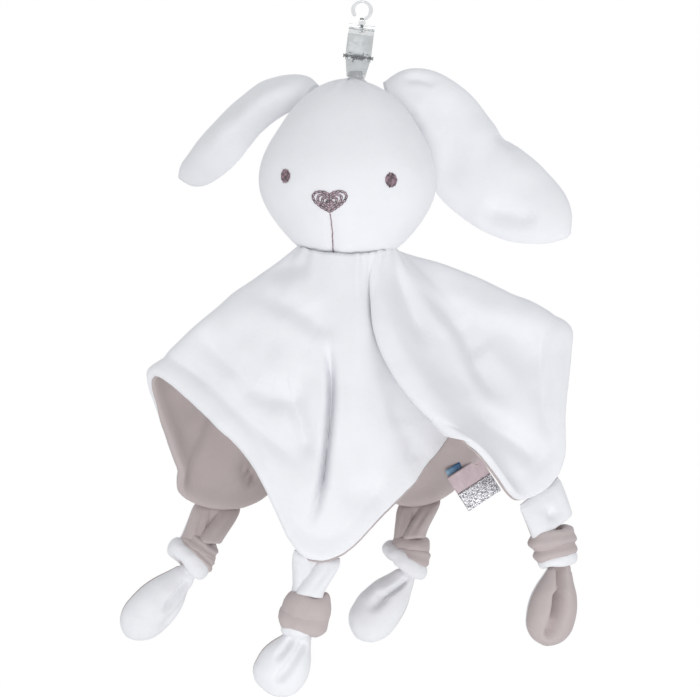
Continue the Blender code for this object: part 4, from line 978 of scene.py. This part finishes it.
def ear_places(shares, bend_deg, face, wide, folds, columns, rows):
    """A padded ear: its two faces bent across its width, swollen between its seams."""
    bend = math.radians(bend_deg)
    table = [(index / (len(shares) - 1), *row) for index, row in enumerate(shares)]
    angle, along = ring_and_rows(columns, rows)
    along = along[0]
    ends = [np.clip(along + shift, 0, 1) for shift in (0, -0.02, 0.02)]
    middle, before, after = (read_table(table, end) * EAR_LENGTH * (1, 1, -1) for end in ends)
    ahead = unit(after - before)
    outward = np.array(face, dtype=float)[None]
    outward = unit(outward - ahead * (outward * ahead).sum(axis=1, keepdims=True))
    side = np.cross(ahead, outward)
    width = read_table(EAR_WIDTH_SHARES, along)[:, 0][None] * EAR_WIDTH / 2 * wide
    turn = bend * np.cos(angle) / 2
    radius = 2 * width / bend
    across = radius * np.sin(turn)
    inward = radius * (1 - np.cos(turn)) - radius * (1 - math.cos(bend / 4))
    fill = np.minimum(1, 0.25 + 3 * width / EAR_WIDTH)
    edge = np.abs(np.sin(angle))
    pillow = np.sign(np.sin(angle)) * edge**0.8
    puff = EAR_THICK / 2 * pillow * fill + 0 * along
    direction = side * np.sin(turn)[..., None] + outward * np.cos(turn)[..., None]
    places = (
        np.array(CROWN) + middle + side * across[..., None] - outward * inward[..., None]
        + direction * puff[..., None]
    )
    lift = 0.55 * MM * soft_noise(places, 15 * MM, 8.1)
    towards = np.clip(-(np.sign(puff)[..., None] * direction)[..., 1] * 4, 0, 1) * edge**0.5
    lift = lift + fold_height(places, folds) * towards * np.sign(puff)
    places += direction * lift[..., None]
    rim = np.cos(angle) * bell(np.sin(angle), 0.16) * 0.35 * MM + 0 * along
    return places + side * rim[..., None]


def sew_ear(name, shares, bend_deg, face, wide):
    places = ear_places(shares, bend_deg, face, wide, EAR_FOLDS[name], 96, 110)
    ear = add_piece(
        f"{name}_cloth", closed_loft(places), [cloth_finish("white")], None, "white", (name,)
    )
    root, further = (places[:places.shape[0] // 2, row].mean(axis=0) for row in (4, 24))
    tuple(root)
    tuple(further)
    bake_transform(ear)


# The blanket

def hang_values(flat_deg):
    """The neck angle, end and bow of the fold lines at these angles."""
    flat_deg = np.asarray(flat_deg, dtype=float) % 360
    rows = [(angle, neck, *end, *bow) for angle, neck, end, bow in HANG_SHARES]
    rows = np.array(rows, dtype=float)
    turn = np.array((360, 360, 0, 0, 0, 0, 0, 0), dtype=float)
    rows = np.concatenate((rows[-2:] - turn, rows, rows[:2] + turn))
    angles, values = rows[:, 0], rows[:, 1:]
    steps = np.diff(values, axis=0) / np.diff(angles)[:, None]
    slopes = np.zeros_like(values)
    slopes[1:-1] = (steps[1:] + steps[:-1]) / 2
    at = np.searchsorted(angles, flat_deg, side="right") - 1
    width = (angles[at + 1] - angles[at])[..., None]
    blend = (flat_deg[..., None] - angles[at][..., None]) / width
    return hermite(blend, values[at], values[at + 1], slopes[at] * width, slopes[at + 1] * width)


def away_from_neck(places):
    """Level directions from the neck to places."""
    away = places - np.array(NECK)
    away[:, 2] = 0
    return unit(away)


def hang_points(flat_deg, share):
    """Where the points of the cloth hang; flat_deg is a column and share a row."""
    values = hang_values(flat_deg[:, 0])
    turn = np.radians(values[:, 0])
    start = np.array(NECK) + NECK_RADIUS * np.stack((np.cos(turn), np.sin(turn), 0 * turn), axis=1)
    start[:, 2] -= NECK_FRONT_DROP * np.maximum(0, -np.sin(turn)) ** 2
    end = start + values[:, 1:4] * BLANKET_HALF
    control = (start + end) / 2 + values[:, 4:7] * BLANKET_HALF * 2
    share = np.broadcast_to(share, (len(start), share.shape[1]))[..., None]
    points = (
        start[:, None] * (1 - share) ** 2 + control[:, None] * 2 * share * (1 - share)
        + end[:, None] * share**2
    )
    height = np.zeros_like(share)
    for angle, width, rise in RIPPLE_SHARES:
        height = height + rise * share * bell(turned_from(flat_deg, angle), width)[..., None]
    return points + away_from_neck(end)[:, None] * height * BLANKET_HALF


def drape(flat_deg, share):
    """The hang, rounded between neighbouring angles, with its finer ripples."""
    points = 0
    for step, weight in enumerate(ROUND_SHARES):
        off = (step - (len(ROUND_SHARES) - 1) / 2) * ROUND_STEP_DEG
        points = points + hang_points(flat_deg + off, share) * weight
    height = np.zeros(points.shape[:2])
    for angle, width, rise, begin in FINE_RIPPLE_SHARES:
        fall = bell(turned_from(flat_deg, angle), width)
        height = height + rise * step_in(share, begin, 1.0) * fall
    return points + away_from_neck(points[:, -1])[:, None] * height[..., None] * BLANKET_HALF


def fold_height(places, folds):
    """How far folds lift or sink the cloth, read from each place's distance to their lines."""
    flat = places[..., [0, 2]] / MM
    height = np.zeros(places.shape[:2])
    for rise, left, right, sharp, line in folds:
        line = np.array(line)
        steps = np.linalg.norm(np.diff(line, axis=0), axis=1)
        before = np.concatenate(([0], np.cumsum(steps)))
        best = np.full(height.shape, np.inf)
        side, along = np.zeros(height.shape), np.zeros(height.shape)
        for index, (start, end) in enumerate(zip(line, line[1:])):
            ahead = (end - start) / steps[index]
            away = flat - start
            held = np.clip(away @ ahead, 0, steps[index])
            gap = np.linalg.norm(away - held[..., None] * ahead, axis=2)
            nearer = gap < best
            cross = away[..., 0] * ahead[1] - away[..., 1] * ahead[0]
            side = np.where(nearer, cross, side)
            along = np.where(nearer, before[index] + held, along)
            best = np.where(nearer, gap, best)
        width = np.where(side > 0, left, right)
        fade = np.minimum(along, before[-1] - along) / (FOLD_END_SHARE * before[-1])
        height = height + rise * MM * np.exp(-((best / width) ** sharp)) * step_in(fade, 0, 1)
    return height


def flat_ray(flat_deg):
    """How far the flat cloth reaches from its middle at these angles from its first corner."""
    from_corner = np.abs((flat_deg + 45) % 90 - 45)
    to_edge = BLANKET_HALF / np.cos(np.radians(45 - from_corner))
    return np.minimum(to_edge, CORNER_RAY / np.cos(np.radians(from_corner)))


def flat_angles(columns):
    """Flat angles for a layer's columns, closer in front and closest at the deepest fold."""
    fine = np.linspace(0, 360, 1441)
    off = turned_from(fine, 18)
    dense = 1 + 1.1 * np.exp(-((off / 62) ** 4)) + 1.8 * bell(off + 26, 12)
    count = np.concatenate(([0], np.cumsum((dense[1:] + dense[:-1]) / 2)))
    return np.interp(np.linspace(0, count[-1], columns + 1), count, fine)[:, None]


def blanket_surface(columns, rows):
    """The hanging surface between the two layers: places, outward normals and flat angles."""
    cloth = bpy.context.scene.rabbit_cloth
    flat_deg = flat_angles(columns)
    fine = np.linspace(0, 1, rows + 1)
    share = fine[None, :]
    share_end = 1 - cloth.hem_radius / (flat_ray(flat_deg) - NECK_RADIUS)
    low = drape(flat_deg, share)
    full = np.empty_like(low)
    for column, end in enumerate(share_end[:, 0]):
        for axis in range(3):
            full[column, :, axis] = np.interp(fine * end, fine, low[column, :, axis])
    inside = np.array(NECK) - (0, 0, BLANKET_HALF)
    normals = turned_along(surface_normals(full), full - inside)
    wave = soft_noise(full, 30 * MM, 1.3) + 0.4 * soft_noise(full, 13 * MM, 6.1)
    ease = step_in(share, 0.05, 0.4) * (1 - 0.4 * step_in(share, 0.85, 1.0))
    angles = (flat_deg + 0 * share) % 360
    in_front = 1 - step_in(np.abs(turned_from(angles, -2)), 43, 48)
    on_right = step_in(angles, 55, 61) * (1 - step_in(angles, 138, 165))
    behind = step_in(angles, 225, 240) * (1 - step_in(angles, 300, 312))
    lift = cloth.crumple * wave * ease + on_right * fold_height(full, SHOULDER_FOLDS)
    forward = in_front * fold_height(full, FRONT_FOLDS) + on_right * fold_height(full, RIGHT_FOLDS)
    full[..., 1] -= forward - behind * fold_height(full, BACK_FOLDS)
    turn = np.radians(flat_deg)
    pleats = np.cos(turn * NECK_PLEATS) + 0.5 * np.cos(turn * 17 + 2)
    gather = bell(share, 0.10)
    full = full + normals * (lift + 0.35 * MM * pleats * gather)[..., None]
    full[..., 2] += 1.8 * MM * gather
    return full, turned_along(surface_normals(full), normals), flat_deg


def hem_roll(centre, flat_deg):
    """Radius of the rolled hem along its centre, puffier in front."""
    pucker = 1 + 0.16 * soft_noise(centre, 9 * MM, 4.4) + 0.10 * soft_noise(centre, 4 * MM, 9.4)
    puffy = 1 + 0.5 * (1 - step_in(np.abs(turned_from(flat_deg[:, 0], 335)), 20, 32))
    return bpy.context.scene.rabbit_cloth.hem_radius * pucker * puffy


def layer_offset(flat_deg, rows, roll):
    """How far a layer lies from the surface, and how far inside the edge each row is."""
    inside = (1 - np.linspace(0, 1, rows))[None, :] * (flat_ray(flat_deg) - NECK_RADIUS)
    return LAYER_OFFSET + (roll[:, None] - LAYER_OFFSET) * bell(inside, 5.5 * MM), inside


def hem_rows(full, fresh, roll, turns):
    """Rows round the rolled hem, at these turns from its outside."""
    fall = unit(full[:, -1] - full[:, -3])
    return [
        (full[:, -1] + fresh[:, -1] * (roll * np.cos(turn))[:, None]
         + fall * (roll * np.sin(turn))[:, None])[:, None]
        for turn in turns
    ]


def neck_rows(start, flat_deg):
    """Rows from the hole inside the neck out to the first row of the blanket."""
    ring = start - np.array(NECK)
    ring[:, 2] = 0
    radius = np.linalg.norm(ring, axis=1, keepdims=True)
    pleats = np.cos(np.radians(flat_deg[:, 0]) * NECK_PLEATS)
    rows = []
    for step in np.linspace(0, 1, 7)[:-1]:
        place = np.array(NECK) + ring / radius * (NECK_HOLE + (radius - NECK_HOLE) * step)
        place[:, 2] = start[:, 2] - 4.6 * MM * (1 - step) ** 0.8 + 0.5 * MM * pleats * step
        rows.append(place[:, None])
    return rows


def sew_layer(name, colour, rows, replaced):
    """One layer of the blanket, from its rows; it faces away from the blanket's middle."""
    places = np.concatenate(rows, axis=1)
    places[-1] = places[0]
    work = grid_of(places)
    weld(work)
    middle = NECK - Vector((0, 0, BLANKET_HALF))
    work.normal_update()
    facing = sum(
        face.normal.dot(face.calc_center_median() - middle) * face.calc_area()
        for face in work.faces
    )
    if facing < 0:
        bmesh.ops.reverse_faces(work, faces=work.faces)
    layer = add_piece(name, work, [cloth_finish(colour)], None, colour, replaced)
    thicken(layer, CLOTH_THICK)
    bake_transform(layer)


def sew_blanket_top():
    """The white layer, stitched inside its hem, and the gathered neck."""
    columns = bpy.context.scene.rabbit_cloth.columns
    full, fresh, flat_deg = blanket_surface(columns, 84)
    roll = hem_roll(full[:, -1], flat_deg)
    offset, inside = layer_offset(flat_deg, full.shape[1], roll)
    offset = offset - 0.5 * MM * bell(inside - STITCH_LINE, 2.6 * MM)
    layer = full + fresh * offset[..., None]
    turns = np.radians(np.linspace(0, HEM_WRAP_DEG, 9)[1:])
    rows = [*neck_rows(layer[:, 0], flat_deg), layer, *hem_rows(full, fresh, roll, turns)]
    sew_layer("blanket_white_cloth", "white", rows, ("blanket_top", "neck_gather"))


def sew_lining():
    """The taupe layer, which shows round the hem except on the right and the left front."""
    cloth = bpy.context.scene.rabbit_cloth
    full, fresh, flat_deg = blanket_surface(cloth.columns * 4 // 5, 66)
    roll = hem_roll(full[:, -1], flat_deg) + 1.15 * CLOTH_THICK
    offset, _ = layer_offset(flat_deg, full.shape[1], roll)
    angles = flat_deg[:, 0]
    hidden = step_in(np.abs(turned_from(angles, 230)), 68, 76)
    hidden = hidden * step_in(np.abs(turned_from(angles, 22)), 22, 28)
    stop = cloth.lining_edge + (math.radians(140) - cloth.lining_edge) * hidden
    turns = [math.pi + (stop - math.pi) * step for step in np.linspace(0, 1, 7)[1:]]
    rows = [full - fresh * offset[..., None], *hem_rows(full, fresh, roll, turns)]
    sew_layer("blanket_taupe_lining", "taupe", rows, ("blanket_lining",))


# The legs

def both_finishes(shown):
    """The cloth that shows in front and the one behind it."""
    return [cloth_finish(shown), cloth_finish("taupe" if shown == "white" else "white")]


def sew_strap(leg):
    """Puffed lobes that cross on their way from the hem to the knot."""
    name, way = leg["name"], Vector(leg["strap_way"])
    place = frame_on(Vector(leg["hinge"]) * MM, leg["across"], -way)
    local = np.array(place.to_3x3().transposed() @ way)
    angle, along = ring_and_rows(40, 30)
    work = bmesh.new()
    for number, (top, end, top_half, end_half, forward) in enumerate(leg["lobes"]):
        across = (top + (end - top) * step_in(along, 0.0, 1.0)) * MM
        half = (top_half + (end_half - top_half) * along) * MM
        bar = np.sin(np.clip(along / 0.16, 0, 1) * math.pi / 2)
        foot = np.sqrt(np.clip(1 - np.clip((along - 0.9) / 0.1, 0, 1) ** 2, 0.04, 1))
        thick = (1.2 + 4.6 * np.sin(along**0.8 * math.pi / 2)) * MM * bar * foot
        crease = 1 - 0.25 * bell(np.cos(angle), 0.3) * np.sin(along * math.pi)
        x = across + half * np.cos(angle) * (0.9 + 0.1 * bar)
        y = thick * np.sin(angle) * crease + forward * MM * np.sin(along * math.pi / 2)
        y = y + 2.4 * MM * (1 - along) ** 2
        at, down, deep, wide = leg["dimple"]
        near = bell(x - at * MM, wide * MM) * bell(along - down, 0.14)
        y = y + deep * MM * near * np.clip(-np.sin(angle), 0, 1)
        z = 2.4 * MM - (STRAP_LENGTH + 4.0 * MM) * along
        places = np.stack((x, y, np.zeros_like(x)), axis=2) - local * (z + 0 * x)[..., None]
        places += 0.3 * MM * soft_noise(places, 6 * MM, 2.0 + number)[..., None]
        merge(work, closed_loft(placed(places, place), lambda column: int(column < 20)))
    shown = leg["front"][0]
    strap = add_piece(
        f"{name}_strap_cloth", work, both_finishes(shown), None, shown, (f"{name}_strap",)
    )
    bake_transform(strap)


def knot_frame(leg):
    way = Vector(leg["strap_way"])
    top = Vector(leg["hinge"]) * MM + way * (STRAP_LENGTH + KNOT_DROP)
    return frame_from(top, leg["across"], -way)


def sew_knot(leg):
    """An overhand knot of wraps over a core."""
    name, place = leg["name"], knot_frame(leg)
    angle, share = ring_and_rows(72, 28)
    turn = share * math.tau
    work = bmesh.new()
    for number, (colour, drop, half, reach, slope, phase, pleats, shift) in enumerate(leg["wraps"]):
        thick = min(half, 4.6) * 0.9 * MM
        swell = 1 + 0.10 * np.cos(angle * 2 + number) + 0.06 * np.cos(angle * 3 + 2 * number)
        groove = 1 - 0.16 * np.cos(turn * (2 + 2 * pleats) + angle) * (pleats > 0)
        out = thick * np.cos(turn) * groove
        x = (KNOT_WIDTH / 2 * reach - thick + out) * np.cos(angle) + shift * MM
        y = (KNOT_DEPTH / 2 * reach - thick + out) * np.sin(angle)
        z = half * MM * swell * np.sin(turn) - drop * MM
        z = z - slope * MM * np.cos(angle - math.radians(phase))
        places = np.stack((x, y, z), axis=2)
        places += 0.5 * MM * soft_noise(places, 5 * MM, 7.0 + number)[..., None]
        painted = int(colour == "white")
        merge(work, closed_loft(placed(places, place), lambda column: painted))
    core = bmesh.new()
    bmesh.ops.create_uvsphere(core, u_segments=32, v_segments=20, radius=1)
    size = Matrix.Diagonal((KNOT_WIDTH * 0.40, KNOT_DEPTH * 0.40, KNOT_HEIGHT * 0.46, 1))
    lift = Matrix.Translation((0, 0, -KNOT_HEIGHT / 2))
    bmesh.ops.transform(core, verts=core.verts, matrix=place @ lift @ size)
    merge(work, core)
    knot = add_piece(
        f"{name}_knot_cloth", work, both_finishes("taupe"), name, leg["front"][1],
        (f"{name}_knot",),
    )


def sew_foot(leg):
    """The stuffed end of the leg, two colours sewn together at its sides and creased in front."""
    name, foot_way = leg["name"], Vector(leg["foot_way"])
    way = Vector(leg["strap_way"])
    ankle = knot_frame(leg).translation + way * (KNOT_HEIGHT + ANKLE_RADIUS / 2)
    place = frame_from(ankle, leg["across"], -foot_way)
    angle, along = ring_and_rows(FOOT_COLUMNS, 60)
    blend = np.clip((along - BALL_SHARE) / (1 - BALL_SHARE), 0, 1)
    size = read_table(FOOT_SHARES, blend)[..., 0]
    width = size * FOOT_WIDTH / 2
    depth = size * (FOOT_DEPTH + (1 - blend) * (FOOT_WIDTH - FOOT_DEPTH)) / 2
    turn = np.clip(along / BALL_SHARE, 0, 1) * math.pi / 2
    neck = along < BALL_SHARE
    width, depth = (np.where(neck, ANKLE_RADIUS * np.sin(turn), half) for half in (width, depth))
    z = np.where(neck, ANKLE_RADIUS * np.cos(turn), -blend * FOOT_LENGTH * leg["foot_share"])
    seam = np.radians(leg["seam_deg"])
    pinch = 1 - 0.035 * bell(np.sin(angle - seam), 0.07) * (1 - neck)
    x, y = width * np.cos(angle) * pinch, depth * np.sin(angle) * pinch
    front = np.clip(-np.sin(angle), 0, 1)
    for top, end, begin, stop, deep, wide in leg["creases"]:
        line = (top + (end - top) * step_in(blend, begin, stop)) * MM
        held = step_in(blend, begin - 0.08, begin + 0.04) * (1 - step_in(blend, stop - 0.2, stop))
        y = y + deep * MM * bell(x - line, wide * MM) * held * front**0.5
    places = np.stack((x, y, z + 0 * angle), axis=2)
    places += 0.3 * MM * soft_noise(places, 8 * MM, 5.0)[..., None] * (1 - neck)[..., None]

    def paint(column):
        return int(math.sin(math.tau * (column + 0.5) / FOOT_COLUMNS - seam) >= 0)

    shown = leg["front"][2]
    foot = add_piece(
        f"{name}_foot_cloth", closed_loft(placed(places, place), paint), both_finishes(shown),
        None, shown, (f"{name}_foot",),
    )
    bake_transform(foot)


# The tags

def tag_strip(name, across, back, up, finish, slot, replaced, thickness):
    """A thin strip of the tag with a UV map that runs across and along it."""
    places = np.stack(np.broadcast_arrays(across, back, up), axis=2)
    tilt = math.radians(TAG_TILT_DEG)
    frame_across = (math.cos(tilt), 0, math.sin(tilt))
    frame_up = (-math.sin(tilt), 0, math.cos(tilt))
    places = placed(places, frame_from(TAG_PLACE, frame_across, frame_up))
    work = grid_of(places)
    layer = work.loops.layers.uv.new(UV_NAME)
    columns, rows = places.shape[0], places.shape[1]
    where = {}
    for column in range(columns):
        for row in range(rows):
            key = tuple(np.round(places[column, row], 6))
            where[key] = (column / (columns - 1), row / (rows - 1))
    for face in work.faces:
        for loop in face.loops:
            loop[layer].uv = where.get(tuple(np.round(np.array(loop.vert.co), 6)), (0.5, 0.5))
    thicken(add_piece(name, work, [finish], "tag", slot, replaced), thickness)


def tag_loop(top, low, radius, steps):
    """Down the front of the tag and round its foot, as (back, up)."""
    path = [(-radius, top + (low - top) * step / steps) for step in range(steps + 1)]
    for step in range(1, 8):
        turn = math.pi * step / 8
        path.append((-radius * math.cos(turn), low - radius * math.sin(turn)))
    return path


def sew_tags():
    """The satin loop, the glitter over its foot, and the label behind it."""
    across = np.linspace(-TAG_WIDTH / 2, TAG_WIDTH / 2, 25)[:, None]
    top, bottom = -RIBBON_DROP, -RIBBON_DROP - TAG_LENGTH
    low = bottom + TAG_LOOP

    def bulge(up):
        held = np.sin(np.clip((up - bottom) / TAG_LENGTH, 0, 1) * math.pi)
        return -0.5 * MM * np.cos(across / (TAG_WIDTH / 2) * 1.3) * held[None]

    path = tag_loop(top, low, TAG_LOOP, 24)
    path += [(TAG_LOOP, low + (top - low) * step / 24) for step in range(25)]
    back, up = np.array(path).T
    tag_strip(
        "satin_ribbon", across, back[None] + bulge(up), up[None], pink_satin(), "satin",
        ("ribbon_tag",), 0.35 * MM,
    )
    back, up = np.array(tag_loop(bottom + TAG_LENGTH / 2, low, TAG_LOOP + BAND_GAP, 16)).T
    grit = 0.08 * MM * np.cos(across * 9000) * np.cos(up * 8000)[None]
    tag_strip(
        "glitter_band", across * 0.985, back[None] + bulge(up) + grit, up[None],
        silver_glitter(), "silver", ("silver_band",), 0.3 * MM,
    )
    across = np.linspace(-LABEL_WIDTH / 2, LABEL_WIDTH / 2, 15)[:, None] - LABEL_SIDE
    down = np.linspace(0.6 * MM, -LABEL_LENGTH, 17)[None, :]
    back = TAG_LOOP + 0.75 * MM + 0.4 * MM * np.sin(down / LABEL_LENGTH * 2)
    tag_strip(
        "blue_care_label", across, back, down, blue_label(), "blue", ("care_label",), 0.3 * MM
    )


# The clip and the hook

def round_wire(path, radius):
    """A wire along a path in the XZ plane, with rounded ends."""
    ahead = unit(np.gradient(path, axis=0))
    side = np.array((0, 1, 0))
    caps = [math.sin(count * math.pi / 2 / CAP_STEPS) for count in range(CAP_STEPS)]
    rings = [(path[0] - ahead[0] * radius * math.cos(math.asin(cap)), cap, 0) for cap in caps]
    rings += [(place, 1.0, index) for index, place in enumerate(path)]
    rings += [
        (path[-1] + ahead[-1] * radius * math.cos(math.asin(cap)), cap, len(path) - 1)
        for cap in caps[::-1]
    ]
    turns = np.linspace(0, math.tau, 25)[:, None]
    rows = [
        place + radius * size * (
            np.cos(turns) * side + np.sin(turns) * np.cross(ahead[index], side))
        for place, size, index in rings
    ]
    return closed_loft(np.stack(rows, axis=1))


def make_hook():
    """The clear ring, its ball collar and its headed shank, rounder than on the frame."""
    turn = np.radians(-90 + 300 * np.linspace(0, 1, 65))
    ring = np.stack((np.cos(turn), 0 * turn, np.sin(turn)), axis=1)
    work = bmesh.new()
    merge(work, round_wire(np.array(HOOK_CENTRE) + HOOK_RADIUS * ring, HOOK_WIRE / 2))
    profile = [(0.0, SHANK_TOP), (SHANK_RADIUS, SHANK_TOP)]
    for turn in np.radians(np.linspace(62, -62, 17)):
        profile.append((
            COLLAR_RADIUS * math.cos(turn), COLLAR_UP + COLLAR_RADIUS * math.sin(turn)
        ))
    profile += [
        (SHANK_RADIUS, -11.9 * MM), (SHANK_RADIUS, SHANK_HEAD_TOP), (COLLAR_RADIUS, SHANK_HEAD_TOP),
        (COLLAR_RADIUS, SHANK_END), (0.0, SHANK_END),
    ]
    shank = bmesh.new()
    points = [shank.verts.new((radius, 0, height)) for radius, height in profile]
    for upper, lower in zip(points, points[1:]):
        shank.edges.new((upper, lower))
    bmesh.ops.spin(
        shank, geom=list(shank.verts) + list(shank.edges), axis=(0, 0, 1), cent=(0, 0, 0),
        angle=math.tau, steps=40, use_merge=True,
    )
    weld(shank)
    bmesh.ops.recalc_face_normals(shank, faces=shank.faces)
    merge(work, shank)
    add_piece("clear_hook", work, [clear_plastic()], "hook", "clear", ("hanging_hook",))


def make_levers():
    """The clip's two plates from the frame, with their edges rounded."""
    for node, body in (("clip_back_lever", "clip"), ("clip_front_lever", "clip_front")):
        work = bmesh.new()
        work.from_mesh(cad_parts[node].data)
        bmesh.ops.remove_doubles(work, verts=work.verts, dist=0.01 * MM)
        bmesh.ops.dissolve_limit(
            work, angle_limit=math.radians(1), verts=work.verts, edges=work.edges
        )
        sharp = [
            edge for edge in work.edges
            if len(edge.link_faces) == 2 and edge.calc_face_angle(0) > math.radians(35)
        ]
        bmesh.ops.bevel(
            work, geom=sharp, offset=0.22 * MM, offset_type="OFFSET", affect="EDGES",
            segments=2, profile=0.5, material=-1, clamp_overlap=True,
        )
        piece = add_piece(f"{node}_clear", work, [clear_plastic()], body, "clear", (node,))
        piece.data.set_sharp_from_angle(angle=math.radians(40))


def finish_steel():
    """Steel on the pin and the spring, which stay as they are on the frame."""
    for node in ("clip_pin", "clip_spring"):
        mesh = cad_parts[node].data
        mesh.materials.clear()
        mesh.materials.append(spring_steel())


# The stage

def shows_stage(tree):
    """1 for the rays that show the stage: to the camera, mirrored and through clear plastic."""
    path = add_node(tree, "ShaderNodeLightPath", {}).outputs
    either_of = {0: path["Is Camera Ray"], 1: path["Is Glossy Ray"]}
    either = add_node(tree, "ShaderNodeMath", either_of, operation="MAXIMUM")
    any_of = {0: either.outputs["Value"], 1: path["Is Transmission Ray"]}
    return add_node(tree, "ShaderNodeMath", any_of, operation="MAXIMUM").outputs["Value"]


def light_world(sky):
    """A soft sky that lights the toy, and plain white where the stage shows."""
    world = bpy.data.worlds.new("studio")
    bpy.context.scene.world = world
    world.use_nodes = True
    tree = world.node_tree
    tree.nodes.clear()
    lit = add_node(tree, "ShaderNodeBackground", {"Color": SKY_COLOUR, "Strength": sky})
    seen = add_node(tree, "ShaderNodeBackground", {"Color": (1, 1, 1, 1)})
    either = {"Fac": shows_stage(tree), 1: lit.outputs[0], 2: seen.outputs[0]}
    both = add_node(tree, "ShaderNodeMixShader", either)
    add_node(tree, "ShaderNodeOutputWorld", {"Surface": both.outputs["Shader"]})


@finish
def pale_floor(tree, shader):
    """A matt floor that looks as white as the background, apart from its shadows."""
    give(tree, shader, {"Base Color": FLOOR_COLOUR, "Roughness": 0.9})
    glow = add_node(tree, "ShaderNodeEmission", {"Strength": shows_stage(tree)})
    sum_of = {0: shader.outputs["BSDF"], 1: glow.outputs["Emission"]}
    both = add_node(tree, "ShaderNodeAddShader", sum_of)
    give(tree, tree.nodes["Material Output"], {"Surface": both.outputs["Shader"]})


def stand(name, data, place, turn):
    """A lamp or a camera in its place."""
    holder = bpy.data.objects.new(name, data)
    holder.location = place
    holder.rotation_euler = turn
    bpy.context.scene.collection.objects.link(holder)
    return holder


def add_lamp(name, place, size, power):
    """A soft lamp that shines on the middle of the toy."""
    lamp = bpy.data.lights.new(name, "AREA")
    lamp.shape = "RECTANGLE"
    lamp.size, lamp.size_y = size
    lamp.energy = power
    aim = Vector(TOY_MIDDLE) - Vector(place)
    stand(name, lamp, place, aim.to_track_quat("-Z", "Y").to_euler())


def set_stage():
    """The floor, the lamps and the camera at the photograph's angle."""
    scene = bpy.context.scene
    stage = scene.rabbit_stage
    work = bmesh.new()
    bmesh.ops.create_grid(work, x_segments=1, y_segments=1, size=FLOOR_HALF)
    bmesh.ops.translate(work, verts=work.verts, vec=(0, 0, -stage.floor_drop))
    mesh = bpy.data.meshes.new("floor")
    work.to_mesh(mesh)
    work.free()
    mesh.materials.append(pale_floor())
    floor = stand("floor", mesh, (0, 0, 0), (0, 0, 0))
    light_world(stage.sky)
    add_lamp("key", (0.1, -1.5, -1.15), (0.9, 0.9), stage.key_power)
    add_lamp("fill", (1.3, -1.2, -0.1), (1.0, 1.2), stage.fill_power)
    camera = bpy.data.cameras.new("camera")
    camera.lens, camera.sensor_width = 100, 36
    scene.camera = stand("camera", camera, CAMERA_PLACE, (math.radians(90), 0, 0))
    scene.view_settings.view_transform = "Standard"


# Operators and panel

class SewHead(bpy.types.Operator):
    """Sew the stuffed head, its tuft and its stitched face"""

    bl_idname = "rabbit.sew_head"
    bl_label = "Sew head"

    def execute(self, context):
        sew_head()
        sew_tuft()
        sew_eyes()
        sew_nose()
        sew_mouth()
        return {"FINISHED"}


class SewEars(bpy.types.Operator):
    """Sew the two padded ears"""

    bl_idname = "rabbit.sew_ears"
    bl_label = "Sew ears"

    def execute(self, context):
        for ear in EARS:
            sew_ear(*ear)
        return {"FINISHED"}


class SewBlanket(bpy.types.Operator):
    """Sew the blanket's two layers and its rolled hem"""

    bl_idname = "rabbit.sew_blanket"
    bl_label = "Sew blanket"

    def execute(self, context):
        sew_blanket_top()
        sew_lining()
        return {"FINISHED"}


class SewLegs(bpy.types.Operator):
    """Sew the four knotted legs"""

    bl_idname = "rabbit.sew_legs"
    bl_label = "Sew legs"

    def execute(self, context):
        for leg in LEGS:
            sew_strap(leg)
            sew_knot(leg)
            sew_foot(leg)
        return {"FINISHED"}


class SewTags(bpy.types.Operator):
    """Sew the satin ribbon, its glitter band and the blue label"""

    bl_idname = "rabbit.sew_tags"
    bl_label = "Sew tags"

    def execute(self, context):
        sew_tags()
        return {"FINISHED"}


class MakeClip(bpy.types.Operator):
    """Make the clear hook and clip and finish their steel"""

    bl_idname = "rabbit.make_clip"
    bl_label = "Make clip"

    def execute(self, context):
        make_hook()
        make_levers()
        finish_steel()
        return {"FINISHED"}


class SetStage(bpy.types.Operator):
    """Set the floor, the lamps and the camera"""

    bl_idname = "rabbit.set_stage"
    bl_label = "Set stage"

    def execute(self, context):
        set_stage()
        return {"FINISHED"}


class RabbitPanel(bpy.types.Panel):
    """Lists the steps and their settings"""

    bl_idname = "VIEW3D_PT_rabbit"
    bl_label = "Comfort blanket"
    bl_space_type = "VIEW_3D"
    bl_region_type = "UI"
    bl_category = "Comfort"

    def draw(self, context):
        for holder in ("rabbit_cloth", "rabbit_stitches", "rabbit_stage"):
            group = getattr(context.scene, holder)
            box = self.layout.box()
            for name in group.bl_rna.properties.keys():
                if name not in ("rna_type", "name"):
                    box.prop(group, name)
        for step in STEPS:
            self.layout.operator(step.bl_idname)


GROUPS = {
    "rabbit_cloth": ClothSettings, "rabbit_stitches": StitchSettings, "rabbit_stage": StageSettings,
}
STEPS = (SewHead, SewEars, SewBlanket, SewLegs, SewTags, MakeClip, SetStage)


def register():
    for made in (*GROUPS.values(), *STEPS, RabbitPanel):
        bpy.utils.register_class(made)
    for name, group in GROUPS.items():
        setattr(bpy.types.Scene, name, PointerProperty(type=group))


def unregister():
    for name in GROUPS:
        delattr(bpy.types.Scene, name)
    for made in reversed((*GROUPS.values(), *STEPS, RabbitPanel)):
        bpy.utils.unregister_class(made)


def main():
    register()
    bpy.ops.rabbit.sew_head()
    bpy.ops.rabbit.sew_ears()
    bpy.ops.rabbit.sew_blanket()
    bpy.ops.rabbit.sew_legs()
    bpy.ops.rabbit.sew_tags()
    bpy.ops.rabbit.make_clip()
    bpy.ops.rabbit.set_stage()


if __name__ == "__main__":
    main()
